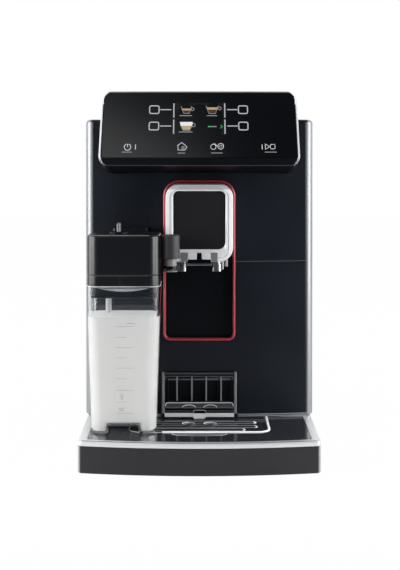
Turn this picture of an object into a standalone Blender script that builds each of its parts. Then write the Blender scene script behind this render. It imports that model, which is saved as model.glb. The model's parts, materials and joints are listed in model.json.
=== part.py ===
"""Bean-to-cup coffee machine with a milk carafe that clips on at the front.

Metres, +Z up, +X to the right, the front looks along -Y. The origin is on the
floor, in the middle of the overall plan.
"""
import math

import bmesh
import bpy

# Overall size and shared clearances
OVERALL_DEPTH = 0.435
OVERALL_HEIGHT = 0.357
BODY_WIDTH = 0.224
GAP = 0.0003
OVERRUN = 0.006
WALL = 0.0025
BODY_HALF = BODY_WIDTH / 2
REAR_Y = OVERALL_DEPTH / 2
TRAY_TIP_Y = -OVERALL_DEPTH / 2

# Roundness of curves, in straight steps
ARC_STEPS = 4
ROUND_STEPS = 22
FINE_STEPS = 28

# Feet and base pan
FOOT_HEIGHT = 0.005
FOOT_RADIUS = 0.009
FOOT_WAIST_RADIUS = 0.007
FOOT_X = 0.094
FOOT_INSET_Y = 0.018
PAN_FRONT_Y = -0.0965
PAN_HALF = 0.10975
PAN_WALL = 0.003
PAN_FLOOR = 0.0025
PAN_CORNER = 0.006
PAN_REAR_MARGIN = 0.003
BODY_FOOT_Z = 0.035
PAN_TOP_Z = BODY_FOOT_Z - GAP
CHANNEL_HALF = 0.0603
CHANNEL_WALL = 0.005
CHANNEL_REAR_Y = 0.0733

# Body shell: side panels with rounded front posts, curved fascia, rear panel
CORNER_Y = -0.100
FRONT_SAG = 0.0085
CORNER_RADIUS = 0.011
SEAM_X = 0.104
SHOULDER_Z = 0.325
SHOULDER_RADIUS = 0.004
FASCIA_SPLIT_Z = 0.186
FASCIA_TOP_Z = SHOULDER_Z - WALL - GAP
PANEL_HALF = BODY_HALF - WALL - GAP
REAR_RECESS = 0.0025
REAR_FACE_Y = REAR_Y - REAR_RECESS
REAR_INNER_Y = REAR_FACE_Y - WALL

# Service door in the right-hand panel
DOOR_FRONT_Y = -0.078
DOOR_REAR_Y = 0.062
DOOR_LOW_Z = 0.078
DOOR_HIGH_Z = 0.240
DOOR_RADIUS = 0.006
DOOR_GAP = 0.0006
DOOR_LATCH_WIDTH = 0.004
DOOR_LATCH_HEIGHT = 0.030
DOOR_LATCH_DEPTH = 0.0012

# Rear panel details
VENT_COUNT = 9
VENT_PITCH = 0.009
VENT_WIDTH = 0.060
VENT_HEIGHT = 0.0035
VENT_X = 0.052
VENT_LOW_Z = 0.130
INLET_X = -0.084
INLET_Z = 0.060
INLET_WIDTH = 0.028
INLET_HEIGHT = 0.021
INLET_DEPTH = 0.018
INLET_WALL = 0.0022
INLET_CORNER = 0.003
INLET_FLANGE = 0.004
INLET_FLANGE_DEPTH = 0.0015
INLET_PIN_WIDTH = 0.002
INLET_PIN_HEIGHT = 0.004
INLET_PIN_PITCH = 0.007
INLET_PIN_LENGTH = 0.012
ROCKER_X = -0.030
ROCKER_Z = 0.060
ROCKER_WIDTH = 0.014
ROCKER_HEIGHT = 0.022
ROCKER_DEPTH = 0.010
ROCKER_PROUD = 0.0022
ROCKER_CLEAR = 0.0010
ROCKER_TILT_SHARE = 0.14

# Control head: a wedge over the fascia, with a bright trim round a glass front
HEAD_HALF = 0.0946
HEAD_LOW_Z = 0.2804
HEAD_BREAK_Z = 0.2879
HEAD_HIGH_Z = 0.3520
HEAD_LOW_Y = -0.1600
HEAD_BREAK_Y = -0.1586
HEAD_HIGH_Y = -0.1152
HEAD_REAR_Y = -0.0620
HEAD_REAR_TOP_Z = 0.3500
HEAD_REAR_LOW_Z = 0.2650
HEAD_BULGE = 0.004
HEAD_CORNER = 0.009
TRIM_SIDE = 0.0023
TRIM_TOP = 0.0011
TRIM_BOTTOM = 0.0007
TRIM_DEPTH = 0.008
GLASS_THICKNESS = 0.0022
GLASS_CORNER = 0.006
BOARD_HALF = 0.070
BOARD_LOW_MARGIN = 0.004
BOARD_HIGH_MARGIN = 0.008
BOARD_THICKNESS = 0.0016

# Top deck, stepped up over the tank and the hopper
DECK_HALF = 0.0935
DECK_FOOT_HALF = 0.0985
DECK_FOOT_HEIGHT = 0.002
DECK_STEP_LOW_Y = 0.058
DECK_STEP_HIGH_Y = 0.073
DECK_EDGE = 0.003

# Red ring, recess plate and coffee spout
RING_HALF = 0.0352
RING_LOW_Z = 0.1087
RING_HIGH_Z = 0.2658
RING_BAND = 0.0027
RING_TOP_RADIUS = 0.0153
RING_LOW_RADIUS = 0.007
RING_PROUD = 0.002
RING_DEPTH = 0.0065
RING_EDGE = 0.0007
NICHE_WALL = 0.003
NICHE_FLOOR = 0.002
GROOVE_DEPTH = 0.0021
SPOUT_HALF = 0.0315
SPOUT_HIGH_Z = 0.2624
SPOUT_LOW_Z = 0.1890
SPOUT_FRONT_Y = -0.146
SPOUT_TOP_RADIUS = 0.012
SPOUT_LOW_RADIUS = 0.014
SPOUT_SHELL = 0.0025
SPOUT_SKIN = 0.0035
BEZEL_BAND = 0.0073
BEZEL_STEP = 0.0045
BEZEL_STEP_DEPTH = 0.0015
BEZEL_CHAMFER = 0.002
BEZEL_SEAT = 0.0025
CHIN_HEIGHT = 0.0090
FACE_THICKNESS = 0.0015
FACE_CORNER = 0.0065
SENSOR_HALF = 0.0021
SENSOR_HEIGHT = 0.0052
SENSOR_LOW_MARGIN = 0.0020
SENSOR_DEPTH = 0.0016
FLANGE_HALF = 0.0337
FLANGE_THICKNESS = 0.0015
NOZZLE_X = 0.0172
NOZZLE_RADIUS = 0.0051
NOZZLE_BORE = 0.0034
NOZZLE_Y = -0.1330
NOZZLE_LOW_Z = 0.1790
NOZZLE_DEPTH = 0.010
SPOUT_MOUTH_HALF = 0.0245

# Drip tray, its bright rim and its polished cover
TRAY_CORNER_Y = -0.207
TRAY_CORNER = 0.005
TRAY_FLOOR_Z = FOOT_HEIGHT
TRAY_REAR_Y = PAN_FRONT_Y - GAP
TRAY_TOP_Z = 0.034
TRAY_WALL = 0.0025
TRAY_FLOOR = 0.0025
RIM_HEIGHT = 0.0042
RIM_WIDTH = 0.008
LEDGE_WIDTH = 0.0025
LEDGE_HEIGHT = 0.0025
TONGUE_HALF = CHANNEL_HALF - 2 * GAP
TONGUE_REAR_Y = 0.070
TONGUE_WALL = 0.002
COVER_THICKNESS = 0.0025
COVER_SKIRT = 0.0018
DISH_HALF = 0.065
DISH_FRONT_Y = -0.172
DISH_DEPTH = 0.0011
DISH_CORNER = 0.015
DISH_MARGIN = 0.003
TAB_HALF = 0.025
TAB_REACH = 0.011
SLOT_WIDTH = 0.008
SLOT_YS = (-0.1280, -0.1450, -0.1575)
SLOT_HALVES = (0.0545, 0.055, 0.043)
DRAIN_X = 0.010
DRAIN_Y = -0.1365
DRAIN_RADIUS = 0.0035
FLOAT_HALF = 0.0055
FLOAT_DEPTH = 0.005
FLOAT_Y = -0.1170
FLOAT_CLEAR = 0.0006

# Grounds container, its front and the folding shelf for small cups
BIN_HALF = 0.0340
BIN_REAR_Y = 0.060
BIN_LOW_Z = 0.0355
BIN_HIGH_Z = 0.0770
BIN_WALL = 0.0018
BIN_CORNER = 0.006
FRONT_HALF = 0.0364
FRONT_HIGH_Z = 0.0780
FRONT_CLEAR = 0.0006
FRONT_CORNER = 0.002
FRONT_POST = 0.0032
FRONT_LIP = 0.0035
FRONT_THICKNESS = 0.0045
FRONT_RECESS = 0.0028
FRONT_FACE_Y = -0.1095
SHELF_HALF = 0.0325
SHELF_LOW_Z = 0.0425
SHELF_WINDOW_LOW_Z = 0.0496
SHELF_CLEAR = 0.0007
SHELF_THICKNESS = 0.0020
SHELF_BAR = 0.0022
SHELF_RIB_COUNT = 4
SHELF_RIB_WIDTH = 0.0014
STRIP_HIGH_Z = 0.0379
STRIP_THICKNESS = 0.0015
STRIP_TAB_HALF = 0.0062
STRIP_TAB_HEIGHT = 0.0031

# Inner frame: a table on two legs with a tall bulkhead
TABLE_TOP_Z = 0.083
TABLE_THICKNESS = 0.003
TABLE_HALF = 0.106
TABLE_FRONT_Y = -0.092
LEG_THICKNESS = 0.003
BULKHEAD_X = -0.0340
BULKHEAD_THICKNESS = 0.003
BULKHEAD_TOP_Z = 0.318
DROP_HALF = 0.014
DROP_X = 0.018
DROP_FRONT_Y = -0.070
DROP_REAR_Y = -0.020

# Water tank, dock and lid
TANK_LEFT_X = -0.0890
TANK_RIGHT_X = -0.039
TANK_FRONT_Y = 0.080
TANK_REAR_Y = 0.205
TANK_CORNER = 0.010
TANK_WALL = 0.002
TANK_LID_THICKNESS = 0.004
TANK_BOSS_WALL = 0.003
DOCK_HEIGHT = 0.005
DOCK_WALL = 0.0016
DOCK_CLEAR = 0.0006
DOCK_WALL_HEIGHT = 0.007
VALVE_RADIUS = 0.009
VALVE_HEIGHT = 0.006
VALVE_CLEAR = 0.0010
VALVE_X = -0.065
VALVE_Y = 0.110

# Bean hopper with its lid and grind knob
HOPPER_LEFT_X = 0.004
HOPPER_RIGHT_X = 0.089
HOPPER_CORNER = 0.012
HOPPER_WALL = 0.002
HOPPER_SHELF_Z = 0.305
HOPPER_NECK_Z = 0.2725
HOPPER_NECK_RADIUS = 0.020
HOPPER_LID_THICKNESS = 0.004
GRIP_RADIUS = 0.010
GRIP_HEIGHT = 0.0022
KNOB_RADIUS = 0.009
KNOB_HEIGHT = 0.014
KNOB_LOBES = 10
KNOB_LOBE_DEPTH = 0.0008
KNOB_X = -0.0175
KNOB_Y = 0.150
KNOB_CLEAR = 0.001
KNOB_WELL_WALL = 0.002

# Grinder
GRINDER_X = 0.0465
GRINDER_Y = 0.1425
GRINDER_RADIUS = 0.034
GRINDER_LOW_Z = 0.182
GRINDER_HIGH_Z = 0.268
GRINDER_WALL = 0.004
GRINDER_FLOOR = 0.005
BURR_RADIUS = 0.025
BURR_BORE = 0.009
BURR_HEIGHT = 0.009
BURR_TOOTH_COUNT = 18
BURR_TOOTH_HEIGHT = 0.0020
BURR_MOUTH_RADIUS = 0.018
BURR_MOUTH_HEIGHT = 0.006
BURR_SPLIT = 0.0008
BURR_RISE = 0.0006
BURR_SHAFT_RADIUS = 0.0045
MOTOR_RADIUS = 0.029
MOTOR_SHOULDER = 0.004
MOTOR_BOSS_RADIUS = 0.012
MOTOR_FLANGE = 0.004
MOTOR_FLANGE_HEIGHT = 0.003

# Chute and lid for ground coffee
CHUTE_X = 0.062
CHUTE_Y = 0.020
CHUTE_HALF = 0.015
CHUTE_LOW_HALF = 0.010
CHUTE_WALL = 0.0015
CHUTE_RIM = 0.004
CHUTE_RIM_HEIGHT = 0.0015
CHUTE_CORNER = 0.004
CHUTE_LID_THICKNESS = 0.003

# Brew group
BREW_LEFT_X = 0.043
BREW_RIGHT_X = 0.104
BREW_FRONT_Y = -0.068
BREW_REAR_Y = 0.050
BREW_HIGH_Z = 0.222
BREW_WALL = 0.005
BREW_CORNER = 0.004
CHAMBER_X = 0.0735
CHAMBER_Y = -0.010
CHAMBER_RADIUS = 0.0230
CHAMBER_BORE = 0.0195
CHAMBER_HIGH_Z = 0.150
PISTON_RADIUS = 0.0185
PISTON_STEM_RADIUS = 0.009
PISTON_LOW_Z = 0.140
PISTON_HEAD_HEIGHT = 0.014
GEAR_TEETH = 22
GEAR_RADIUS = 0.024
GEAR_TOOTH = 0.0024
GEAR_THICKNESS = 0.006
GEAR_Y = 0.026
GEAR_Z = 0.150
GEARBOX_LEFT_X = 0.010
GEARBOX_FRONT_Y = 0.000
GEARBOX_REAR_Y = 0.052
GEARBOX_HIGH_Z = 0.178
GEARBOX_CORNER = 0.005
GEARMOTOR_RADIUS = 0.013
GEARMOTOR_LENGTH = 0.030

# Boiler, pump, flow meter and power board
BOILER_X = -0.073
BOILER_Y = -0.030
BOILER_RADIUS = 0.029
BOILER_HIGH_Z = 0.215
BOILER_FLANGE = 0.003
BOILER_FLANGE_HEIGHT = 0.004
BOILER_DOME = 0.014
PUMP_X = -0.087
PUMP_RADIUS = 0.016
PUMP_FRONT_Y = -0.060
PUMP_LENGTH = 0.090
PUMP_COIL_RADIUS = 0.0175
PUMP_COIL_LENGTH = 0.042
METER_X = -0.065
METER_Y = 0.044
METER_RADIUS = 0.014
METER_HEIGHT = 0.020
METER_PORT_RADIUS = 0.004
METER_PORT_HEIGHT = 0.010
BOARD_LEFT_X = 0.006
BOARD_RIGHT_X = 0.096
BOARD_PLATE_Y = 0.205
BOARD_PLATE_HEIGHT = 0.110
BOARD_PLATE_THICKNESS = 0.002
BOARD_PART_DEPTH = 0.012
BOARD_PART_SHARES = ((0.08, 0.30, 0.10, 0.40), (0.42, 0.60, 0.15, 0.55), (0.70, 0.92, 0.50, 0.85))

# Milk carafe
JUG_X = -0.070
JUG_LOW_HALF = 0.0300
JUG_HIGH_HALF = 0.0342
JUG_FRONT_Y = -0.181
JUG_REAR_Y = -0.128
JUG_CORNER = 0.011
JUG_WALL = 0.0020
JUG_FLOOR = 0.003
JUG_HIGH_Z = 0.1700
JUG_DRAFT_Y = 0.002
NOTCH_HALF = 0.0160
NOTCH_HEIGHT = 0.0095
LID_HIGH_Z = 0.2170
LID_HALF = 0.0338
LID_SPLIT_Z = 0.1800
LID_GROOVE = 0.0006
LID_EDGE = 0.0012
LID_SKIN = 0.003
COLLAR_LOW_Z = 0.1590
COLLAR_WALL = 0.003
SUCTION_X = -0.0855
SUCTION_Y = -0.150
SUCTION_RADIUS = 0.0028
SUCTION_BORE = 0.0018
SUCTION_LOW_Z = 0.0520
MILK_SPOUT_X = -0.0270
MILK_SPOUT_Y = -0.1640
MILK_SPOUT_RADIUS = 0.0089
MILK_SPOUT_LOW_Z = 0.1946
MILK_SPOUT_HIGH_Z = 0.2166
MILK_SPOUT_EDGE = 0.001
MILK_STEM_RADIUS = 0.0024
MILK_NECK_RADIUS = 0.0036
MILK_NOZZLE_RADIUS = 0.0062
MILK_NOZZLE_LOW_Z = 0.1810
MILK_NOZZLE_HEIGHT = 0.0065
LIFTER_RADIUS = 0.009
LIFTER_BASE = 0.0016
LIFTER_HIGH_Z = 0.2270
LIFTER_THICKNESS = 0.0033
LIFTER_X = -0.0753
LIFTER_Y = -0.1560
MILK_DOCK_LEFT_X = -0.083
MILK_DOCK_RIGHT_X = -0.0495
MILK_DOCK_LOW_Z = 0.176
MILK_DOCK_HIGH_Z = 0.220
MILK_DOCK_CORNER = 0.002
STEAM_RADIUS = 0.0024
STEAM_LENGTH = 0.005
STEAM_Z = 0.200
STEAM_X = -0.066
PORT_HALF = 0.004
PORT_DEPTH = 0.007

# Colours, roughness and metal share of each finish
BLACK_GLOSS = ((0.012, 0.013, 0.016), 0.18, 0.0)
BLACK_SATIN = ((0.020, 0.021, 0.024), 0.42, 0.0)
DARK_GREY = ((0.050, 0.050, 0.055), 0.55, 0.0)
RED_SATIN = ((0.420, 0.060, 0.090), 0.35, 0.2)
BRIGHT_SILVER = ((0.720, 0.720, 0.730), 0.25, 0.9)
CHROME = ((0.800, 0.800, 0.810), 0.08, 1.0)
STEEL = ((0.560, 0.570, 0.590), 0.28, 1.0)
CLEAR = ((0.800, 0.830, 0.850), 0.08, 0.0)
GREY_PLASTIC = ((0.300, 0.310, 0.330), 0.50, 0.0)
WHITE_PLASTIC = ((0.750, 0.750, 0.730), 0.45, 0.0)
RUBBER = ((0.030, 0.030, 0.030), 0.85, 0.0)
BOARD_GREEN = ((0.020, 0.140, 0.060), 0.50, 0.0)

# Angle above which an edge stays sharp
SHARP_ANGLE = math.radians(32)


def add_body(name, mesh_data, finish, pivot=(0, 0, 0)):
    """Turn mesh data into one named object whose origin is its pivot."""
    bmesh.ops.recalc_face_normals(mesh_data, faces=mesh_data.faces)
    bmesh.ops.translate(mesh_data, verts=mesh_data.verts, vec=[-value for value in pivot])
    mesh = bpy.data.meshes.new(name)
    mesh_data.to_mesh(mesh)
    mesh_data.free()
    mesh.shade_smooth()
    mesh.set_sharp_from_angle(angle=SHARP_ANGLE)
    body = bpy.data.objects.new(name, mesh)
    body.location = pivot
    bpy.context.scene.collection.objects.link(body)
    color, roughness, metal = finish
    material = bpy.data.materials.new(name + "_finish")
    material.use_nodes = True
    shader = material.node_tree.nodes["Principled BSDF"]
    shader.inputs["Base Color"].default_value = (*color, 1)
    shader.inputs["Roughness"].default_value = roughness
    shader.inputs["Metallic"].default_value = metal
    mesh.materials.append(material)
    return body


def solid(name, loops, finish, pivot=(0, 0, 0), ring=False):
    """Skin a row of equal point loops; a ring joins the last loop to the first."""
    mesh_data = bmesh.new()
    rows = [[mesh_data.verts.new(point) for point in loop] for loop in loops]
    pairs = list(zip(rows, rows[1:]))
    if ring:
        pairs.append((rows[-1], rows[0]))
    count = len(rows[0])
    for near, far in pairs:
        for index in range(count):
            following = (index + 1) % count
            mesh_data.faces.new((near[index], near[following], far[following], far[index]))
    if not ring:
        mesh_data.faces.new(reversed(rows[0]))
        mesh_data.faces.new(rows[-1])
    return add_body(name, mesh_data, finish, pivot)


def shape_by(target, operation, loops, ring=False):
    """Cut, join or trim a body with a hidden guide solid, and return the guide."""
    guide = solid(f"{target.name}_guide_{len(target.modifiers)}", loops, DARK_GREY, ring=ring)
    guide.hide_render = True
    guide.display_type = "WIRE"
    modifier = target.modifiers.new(operation.lower(), "BOOLEAN")
    modifier.operation = operation
    modifier.solver = "EXACT"
    modifier.object = guide
    return guide


def cut(target, loops, ring=False):
    return shape_by(target, "DIFFERENCE", loops, ring)


def join(target, loops):
    return shape_by(target, "UNION", loops)


def trim(target, loops):
    return shape_by(target, "INTERSECT", loops)


def rounded(low_a, high_a, low_b, high_b, low_radius=0, high_radius=None):
    """Rectangle with round corners, the low pair and the high pair each with a radius."""
    high_radius = low_radius if high_radius is None else high_radius
    corners = (
        (low_a, low_b, 1, 1, low_radius, 180),
        (high_a, low_b, -1, 1, low_radius, 270),
        (high_a, high_b, -1, -1, high_radius, 0),
        (low_a, high_b, 1, -1, high_radius, 90),
    )
    points = []
    for corner_a, corner_b, side_a, side_b, radius, start in corners:
        if radius <= 0:
            points.append((corner_a, corner_b))
            continue
        for step in range(ARC_STEPS + 1):
            angle = math.radians(start + 90 * step / ARC_STEPS)
            center_a = corner_a + side_a * radius
            center_b = corner_b + side_b * radius
            points.append((center_a + radius * math.cos(angle), center_b + radius * math.sin(angle)))
    return points


def circle(center_a, center_b, radius, steps=ROUND_STEPS):
    turns = [math.tau * step / steps for step in range(steps)]
    return [(center_a + radius * math.cos(turn), center_b + radius * math.sin(turn)) for turn in turns]


def corner_circle(center_a, center_b, radius):
    """Circle with its points in step with those of a rounded rectangle."""
    per_corner = ARC_STEPS + 1
    points = []
    for start in (180, 270, 0, 90):
        for step in range(per_corner):
            angle = math.radians(start + 90 * (step + 1 / 2) / per_corner)
            points.append((center_a + radius * math.cos(angle), center_b + radius * math.sin(angle)))
    return points


def at_z(outline, height):
    return [(a, b, height) for a, b in outline]


def at_y(outline, depth):
    """Stand an outline up facing the front; depth is a number or a function of x and z."""
    if callable(depth):
        return [(a, depth(a, b), b) for a, b in outline]
    return [(a, depth, b) for a, b in outline]


def at_x(outline, side):
    return [(side, a, b) for a, b in outline]


def block(low, high, radius=0):
    """Upright block between two corners, with its four standing edges rounded."""
    outline = rounded(low[0], high[0], low[1], high[1], radius)
    return [at_z(outline, low[2]), at_z(outline, high[2])]


def turned(center, profile, steps=ROUND_STEPS):
    """Loops of a piece turned about a vertical axis, from radius and height pairs."""
    return [at_z(circle(center[0], center[1], radius, steps), height) for radius, height in profile]


def turned_along_y(center, profile, steps=ROUND_STEPS):
    return [at_y(circle(center[0], center[1], radius, steps), depth) for radius, depth in profile]


def mirrored(points):
    return [(-a, b) for a, b in reversed(points)]


def bow(x, half, corner_y, tip_y):
    """Depth of a shallow bow across the front."""
    return tip_y + (corner_y - tip_y) * (x / half) ** 2


def bow_side(half, corner_y, tip_y, radius, inset=0, from_x=0, steps=9):
    """Right half of a bowed front and its rounded corner, from the middle outwards."""
    center_x = half - radius
    lean = math.atan(2 * (corner_y - tip_y) * center_x / half ** 2)
    start_x = center_x + radius * math.sin(lean)
    center_y = bow(start_x, half, corner_y, tip_y) + radius * math.cos(lean)
    points = []
    for step in range(steps):
        x = from_x + (start_x - from_x) * step / steps
        points.append((x, bow(x, half, corner_y, tip_y) + inset))
    for step in range(ARC_STEPS + 1):
        angle = lean + (math.pi / 2 - lean) * step / ARC_STEPS
        reach = radius - inset
        points.append((center_x + reach * math.sin(angle), center_y - reach * math.cos(angle)))
    return points


def front_y(x):
    """Front of the body shell at a given distance from the middle."""
    return bow(x, BODY_HALF, CORNER_Y, CORNER_Y - FRONT_SAG)


def make_feet():
    waist_z = FOOT_HEIGHT * 2 / 3
    for side_name, side in (("left", -1), ("right", 1)):
        places = (("front", PAN_FRONT_Y + FOOT_INSET_Y), ("rear", REAR_Y - FOOT_INSET_Y))
        for end_name, depth in places:
            profile = [
                (FOOT_RADIUS, 0),
                (FOOT_RADIUS, waist_z),
                (FOOT_WAIST_RADIUS, FOOT_HEIGHT - GAP),
            ]
            loops = turned((side * FOOT_X, depth), profile)
            solid(f"foot_{end_name}_{side_name}", loops, RUBBER)


def make_base_pan():
    pan_rear_y = REAR_Y - PAN_REAR_MARGIN
    pan = solid("base_pan", block((-PAN_HALF, PAN_FRONT_Y, FOOT_HEIGHT),
                                  (PAN_HALF, pan_rear_y, PAN_TOP_Z), PAN_CORNER), BLACK_SATIN)
    floor_z = FOOT_HEIGHT + PAN_FLOOR
    above_z = PAN_TOP_Z + OVERRUN
    cut(pan, block((-CHANNEL_HALF, PAN_FRONT_Y - OVERRUN, floor_z), (CHANNEL_HALF, CHANNEL_REAR_Y, above_z)))
    pocket_x = CHANNEL_HALF + CHANNEL_WALL
    pocket_front_y = PAN_FRONT_Y + PAN_WALL
    pocket_rear_y = pan_rear_y - PAN_WALL
    outer_x = PAN_HALF - PAN_WALL
    cut(pan, block((pocket_x, pocket_front_y, floor_z), (outer_x, pocket_rear_y, above_z), PAN_WALL))
    cut(pan, block((-outer_x, pocket_front_y, floor_z), (-pocket_x, pocket_rear_y, above_z), PAN_WALL))
    cut(pan, block((-CHANNEL_HALF, CHANNEL_REAR_Y + CHANNEL_WALL, floor_z),
                   (CHANNEL_HALF, pocket_rear_y, above_z), PAN_WALL))


def side_plan(inner_x, inset, rear_y):
    """Plan of the right-hand panel with its rounded front post."""
    front = bow_side(BODY_HALF, CORNER_Y, CORNER_Y - FRONT_SAG, CORNER_RADIUS, inset, inner_x, 2)
    return front + [(BODY_HALF - inset, rear_y), (inner_x, rear_y)]


def make_side_panel(name, side):
    """Side wall, rounded front post and top flange in one moulding."""
    inner_x = HEAD_HALF + GAP
    levels = [(0, BODY_FOOT_Z), (0, SHOULDER_Z - SHOULDER_RADIUS)]
    for step in range(1, ARC_STEPS + 1):
        angle = math.pi / 2 * step / ARC_STEPS
        inset = SHOULDER_RADIUS * (1 - math.cos(angle))
        levels.append((inset, SHOULDER_Z - SHOULDER_RADIUS * (1 - math.sin(angle))))

    def placed(outline):
        return [(side * x, y) for x, y in outline]

    loops = [at_z(placed(side_plan(inner_x, inset, REAR_Y)), height) for inset, height in levels]
    panel = solid(name, loops, BLACK_SATIN)
    ceiling_z = SHOULDER_Z - WALL
    hollow = placed(side_plan(inner_x - OVERRUN, WALL, REAR_Y + OVERRUN))
    cut(panel, [at_z(hollow, BODY_FOOT_Z - OVERRUN), at_z(hollow, ceiling_z)])
    bay = placed(rounded(inner_x - OVERRUN, SEAM_X, CORNER_Y - FRONT_SAG - OVERRUN, CORNER_Y + OVERRUN))
    cut(panel, [at_z(bay, BODY_FOOT_Z - OVERRUN), at_z(bay, ceiling_z)])
    return panel


def make_side_panels():
    make_side_panel("side_panel_left", -1)
    panel = make_side_panel("side_panel_right", 1)
    opening = rounded(DOOR_FRONT_Y, DOOR_REAR_Y, DOOR_LOW_Z, DOOR_HIGH_Z, DOOR_RADIUS)
    cut(panel, [at_x(opening, BODY_HALF - WALL - OVERRUN), at_x(opening, BODY_HALF + OVERRUN)])


def make_service_door():
    """Door in the right-hand panel, hinged at its rear edge."""
    hinge_y = DOOR_REAR_Y - DOOR_GAP
    low_z = DOOR_LOW_Z + DOOR_GAP
    high_z = DOOR_HIGH_Z - DOOR_GAP
    outline = rounded(DOOR_FRONT_Y + DOOR_GAP, hinge_y, low_z, high_z, DOOR_RADIUS - DOOR_GAP)
    pivot = (BODY_HALF, hinge_y, (low_z + high_z) / 2)
    loops = [at_x(outline, BODY_HALF - WALL), at_x(outline, BODY_HALF)]
    door = solid("service_door", loops, BLACK_SATIN, pivot)
    latch_y = DOOR_FRONT_Y + 2 * DOOR_LATCH_WIDTH
    middle_z = (low_z + high_z) / 2
    latch = rounded(latch_y, latch_y + DOOR_LATCH_WIDTH, middle_z - DOOR_LATCH_HEIGHT / 2,
                    middle_z + DOOR_LATCH_HEIGHT / 2, DOOR_LATCH_WIDTH / 2 - GAP)
    cut(door, [at_x(latch, BODY_HALF - DOOR_LATCH_DEPTH), at_x(latch, BODY_HALF + OVERRUN)])


def centered(x, z, width, height, radius=0):
    return rounded(x - width / 2, x + width / 2, z - height / 2, z + height / 2, radius)


def make_rear_panel():
    outline = rounded(-PANEL_HALF, PANEL_HALF, BODY_FOOT_Z, FASCIA_TOP_Z)
    panel = solid("rear_panel", [at_y(outline, REAR_INNER_Y), at_y(outline, REAR_FACE_Y)], BLACK_SATIN)
    openings = [
        centered(INLET_X, INLET_Z, INLET_WIDTH + 2 * GAP, INLET_HEIGHT + 2 * GAP, INLET_CORNER),
        centered(ROCKER_X, ROCKER_Z, ROCKER_WIDTH + 2 * GAP, ROCKER_HEIGHT + 2 * ROCKER_CLEAR),
    ]
    for index in range(VENT_COUNT):
        height = VENT_LOW_Z + index * VENT_PITCH
        openings.append(centered(VENT_X, height, VENT_WIDTH, VENT_HEIGHT))
    for opening in openings:
        cut(panel, [at_y(opening, REAR_INNER_Y - OVERRUN), at_y(opening, REAR_FACE_Y + OVERRUN)])


def make_mains_inlet():
    """Three-pin appliance inlet with a thin outer flange."""
    cup = centered(INLET_X, INLET_Z, INLET_WIDTH, INLET_HEIGHT, INLET_CORNER)
    well = centered(INLET_X, INLET_Z, INLET_WIDTH - 2 * INLET_WALL, INLET_HEIGHT - 2 * INLET_WALL,
                    INLET_CORNER - INLET_WALL)
    flange = centered(INLET_X, INLET_Z, INLET_WIDTH + 2 * INLET_FLANGE, INLET_HEIGHT + 2 * INLET_FLANGE,
                      INLET_CORNER)
    back_y = REAR_FACE_Y - INLET_DEPTH
    floor_y = back_y + INLET_WALL
    flange_y = REAR_FACE_Y + GAP
    face_y = flange_y + INLET_FLANGE_DEPTH
    inlet = solid("mains_inlet", [at_y(cup, back_y), at_y(cup, flange_y), at_y(flange, flange_y),
                                  at_y(flange, face_y), at_y(well, face_y), at_y(well, floor_y)], DARK_GREY)
    for step in (-1, 0, 1):
        pin = centered(INLET_X + step * INLET_PIN_PITCH, INLET_Z, INLET_PIN_WIDTH, INLET_PIN_HEIGHT)
        join(inlet, [at_y(pin, floor_y - INLET_WALL / 2), at_y(pin, floor_y + INLET_PIN_LENGTH)])


def make_power_rocker():
    """Rocker with a shallow vee face, pivoted across its middle."""
    low_z = ROCKER_Z - ROCKER_HEIGHT / 2
    high_z = ROCKER_Z + ROCKER_HEIGHT / 2
    face_y = REAR_FACE_Y + ROCKER_PROUD
    back_y = REAR_FACE_Y - ROCKER_DEPTH
    vee_y = face_y - ROCKER_HEIGHT * ROCKER_TILT_SHARE
    waist = ROCKER_HEIGHT / 4
    profile = [(back_y, ROCKER_Z - waist), (vee_y, low_z), (face_y - ROCKER_PROUD / 2, ROCKER_Z),
               (face_y, high_z), (back_y, ROCKER_Z + waist)]
    pivot = (ROCKER_X, REAR_INNER_Y, ROCKER_Z)
    solid("power_rocker", [at_x(profile, ROCKER_X - ROCKER_WIDTH / 2),
                           at_x(profile, ROCKER_X + ROCKER_WIDTH / 2)], BLACK_GLOSS, pivot)


def fascia_plan():
    """Plan of the curved front plate between the two posts."""
    half = SEAM_X - GAP
    steps = 16
    xs = [-half + 2 * half * step / steps for step in range(steps + 1)]
    return [(x, front_y(x)) for x in xs] + [(x, front_y(x) + WALL) for x in reversed(xs)]


def ring_outline(inset):
    return rounded(-RING_HALF + inset, RING_HALF - inset, RING_LOW_Z + inset, RING_HIGH_Z - inset,
                   RING_LOW_RADIUS - inset, RING_TOP_RADIUS - inset)


def make_fascias():
    """Upper and lower front plates, parted at the seam, with the recess opening."""
    plan = fascia_plan()
    behind_y = CORNER_Y + OVERRUN
    ahead_y = CORNER_Y - FRONT_SAG - OVERRUN
    opening = ring_outline(-GAP)
    for name, low_z, high_z in (("upper_front_fascia", FASCIA_SPLIT_Z + GAP, FASCIA_TOP_Z),
                                ("lower_front_fascia", BODY_FOOT_Z, FASCIA_SPLIT_Z - GAP)):
        plate = solid(name, [at_z(plan, low_z), at_z(plan, high_z)], BLACK_SATIN)
        cut(plate, [at_y(opening, ahead_y), at_y(opening, behind_y)])
    half = FRONT_HALF + FRONT_CLEAR
    bay = rounded(-half, half, BODY_FOOT_Z - OVERRUN, FRONT_HIGH_Z + FRONT_CLEAR)
    cut(plate, [at_y(bay, ahead_y), at_y(bay, behind_y)])


def make_red_ring():
    """Red trim ring round the recess, with eased front edges."""
    back_y = ring_back_y()

    def proud(extra):
        return lambda x, z: front_y(x) - RING_PROUD + extra

    loops = [
        at_y(ring_outline(0), back_y),
        at_y(ring_outline(0), proud(RING_EDGE)),
        at_y(ring_outline(RING_EDGE), proud(0)),
        at_y(ring_outline(RING_BAND - RING_EDGE), proud(0)),
        at_y(ring_outline(RING_BAND), proud(RING_EDGE)),
        at_y(ring_outline(RING_BAND), back_y),
    ]
    solid("red_ring", loops, RED_SATIN, ring=True)


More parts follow.
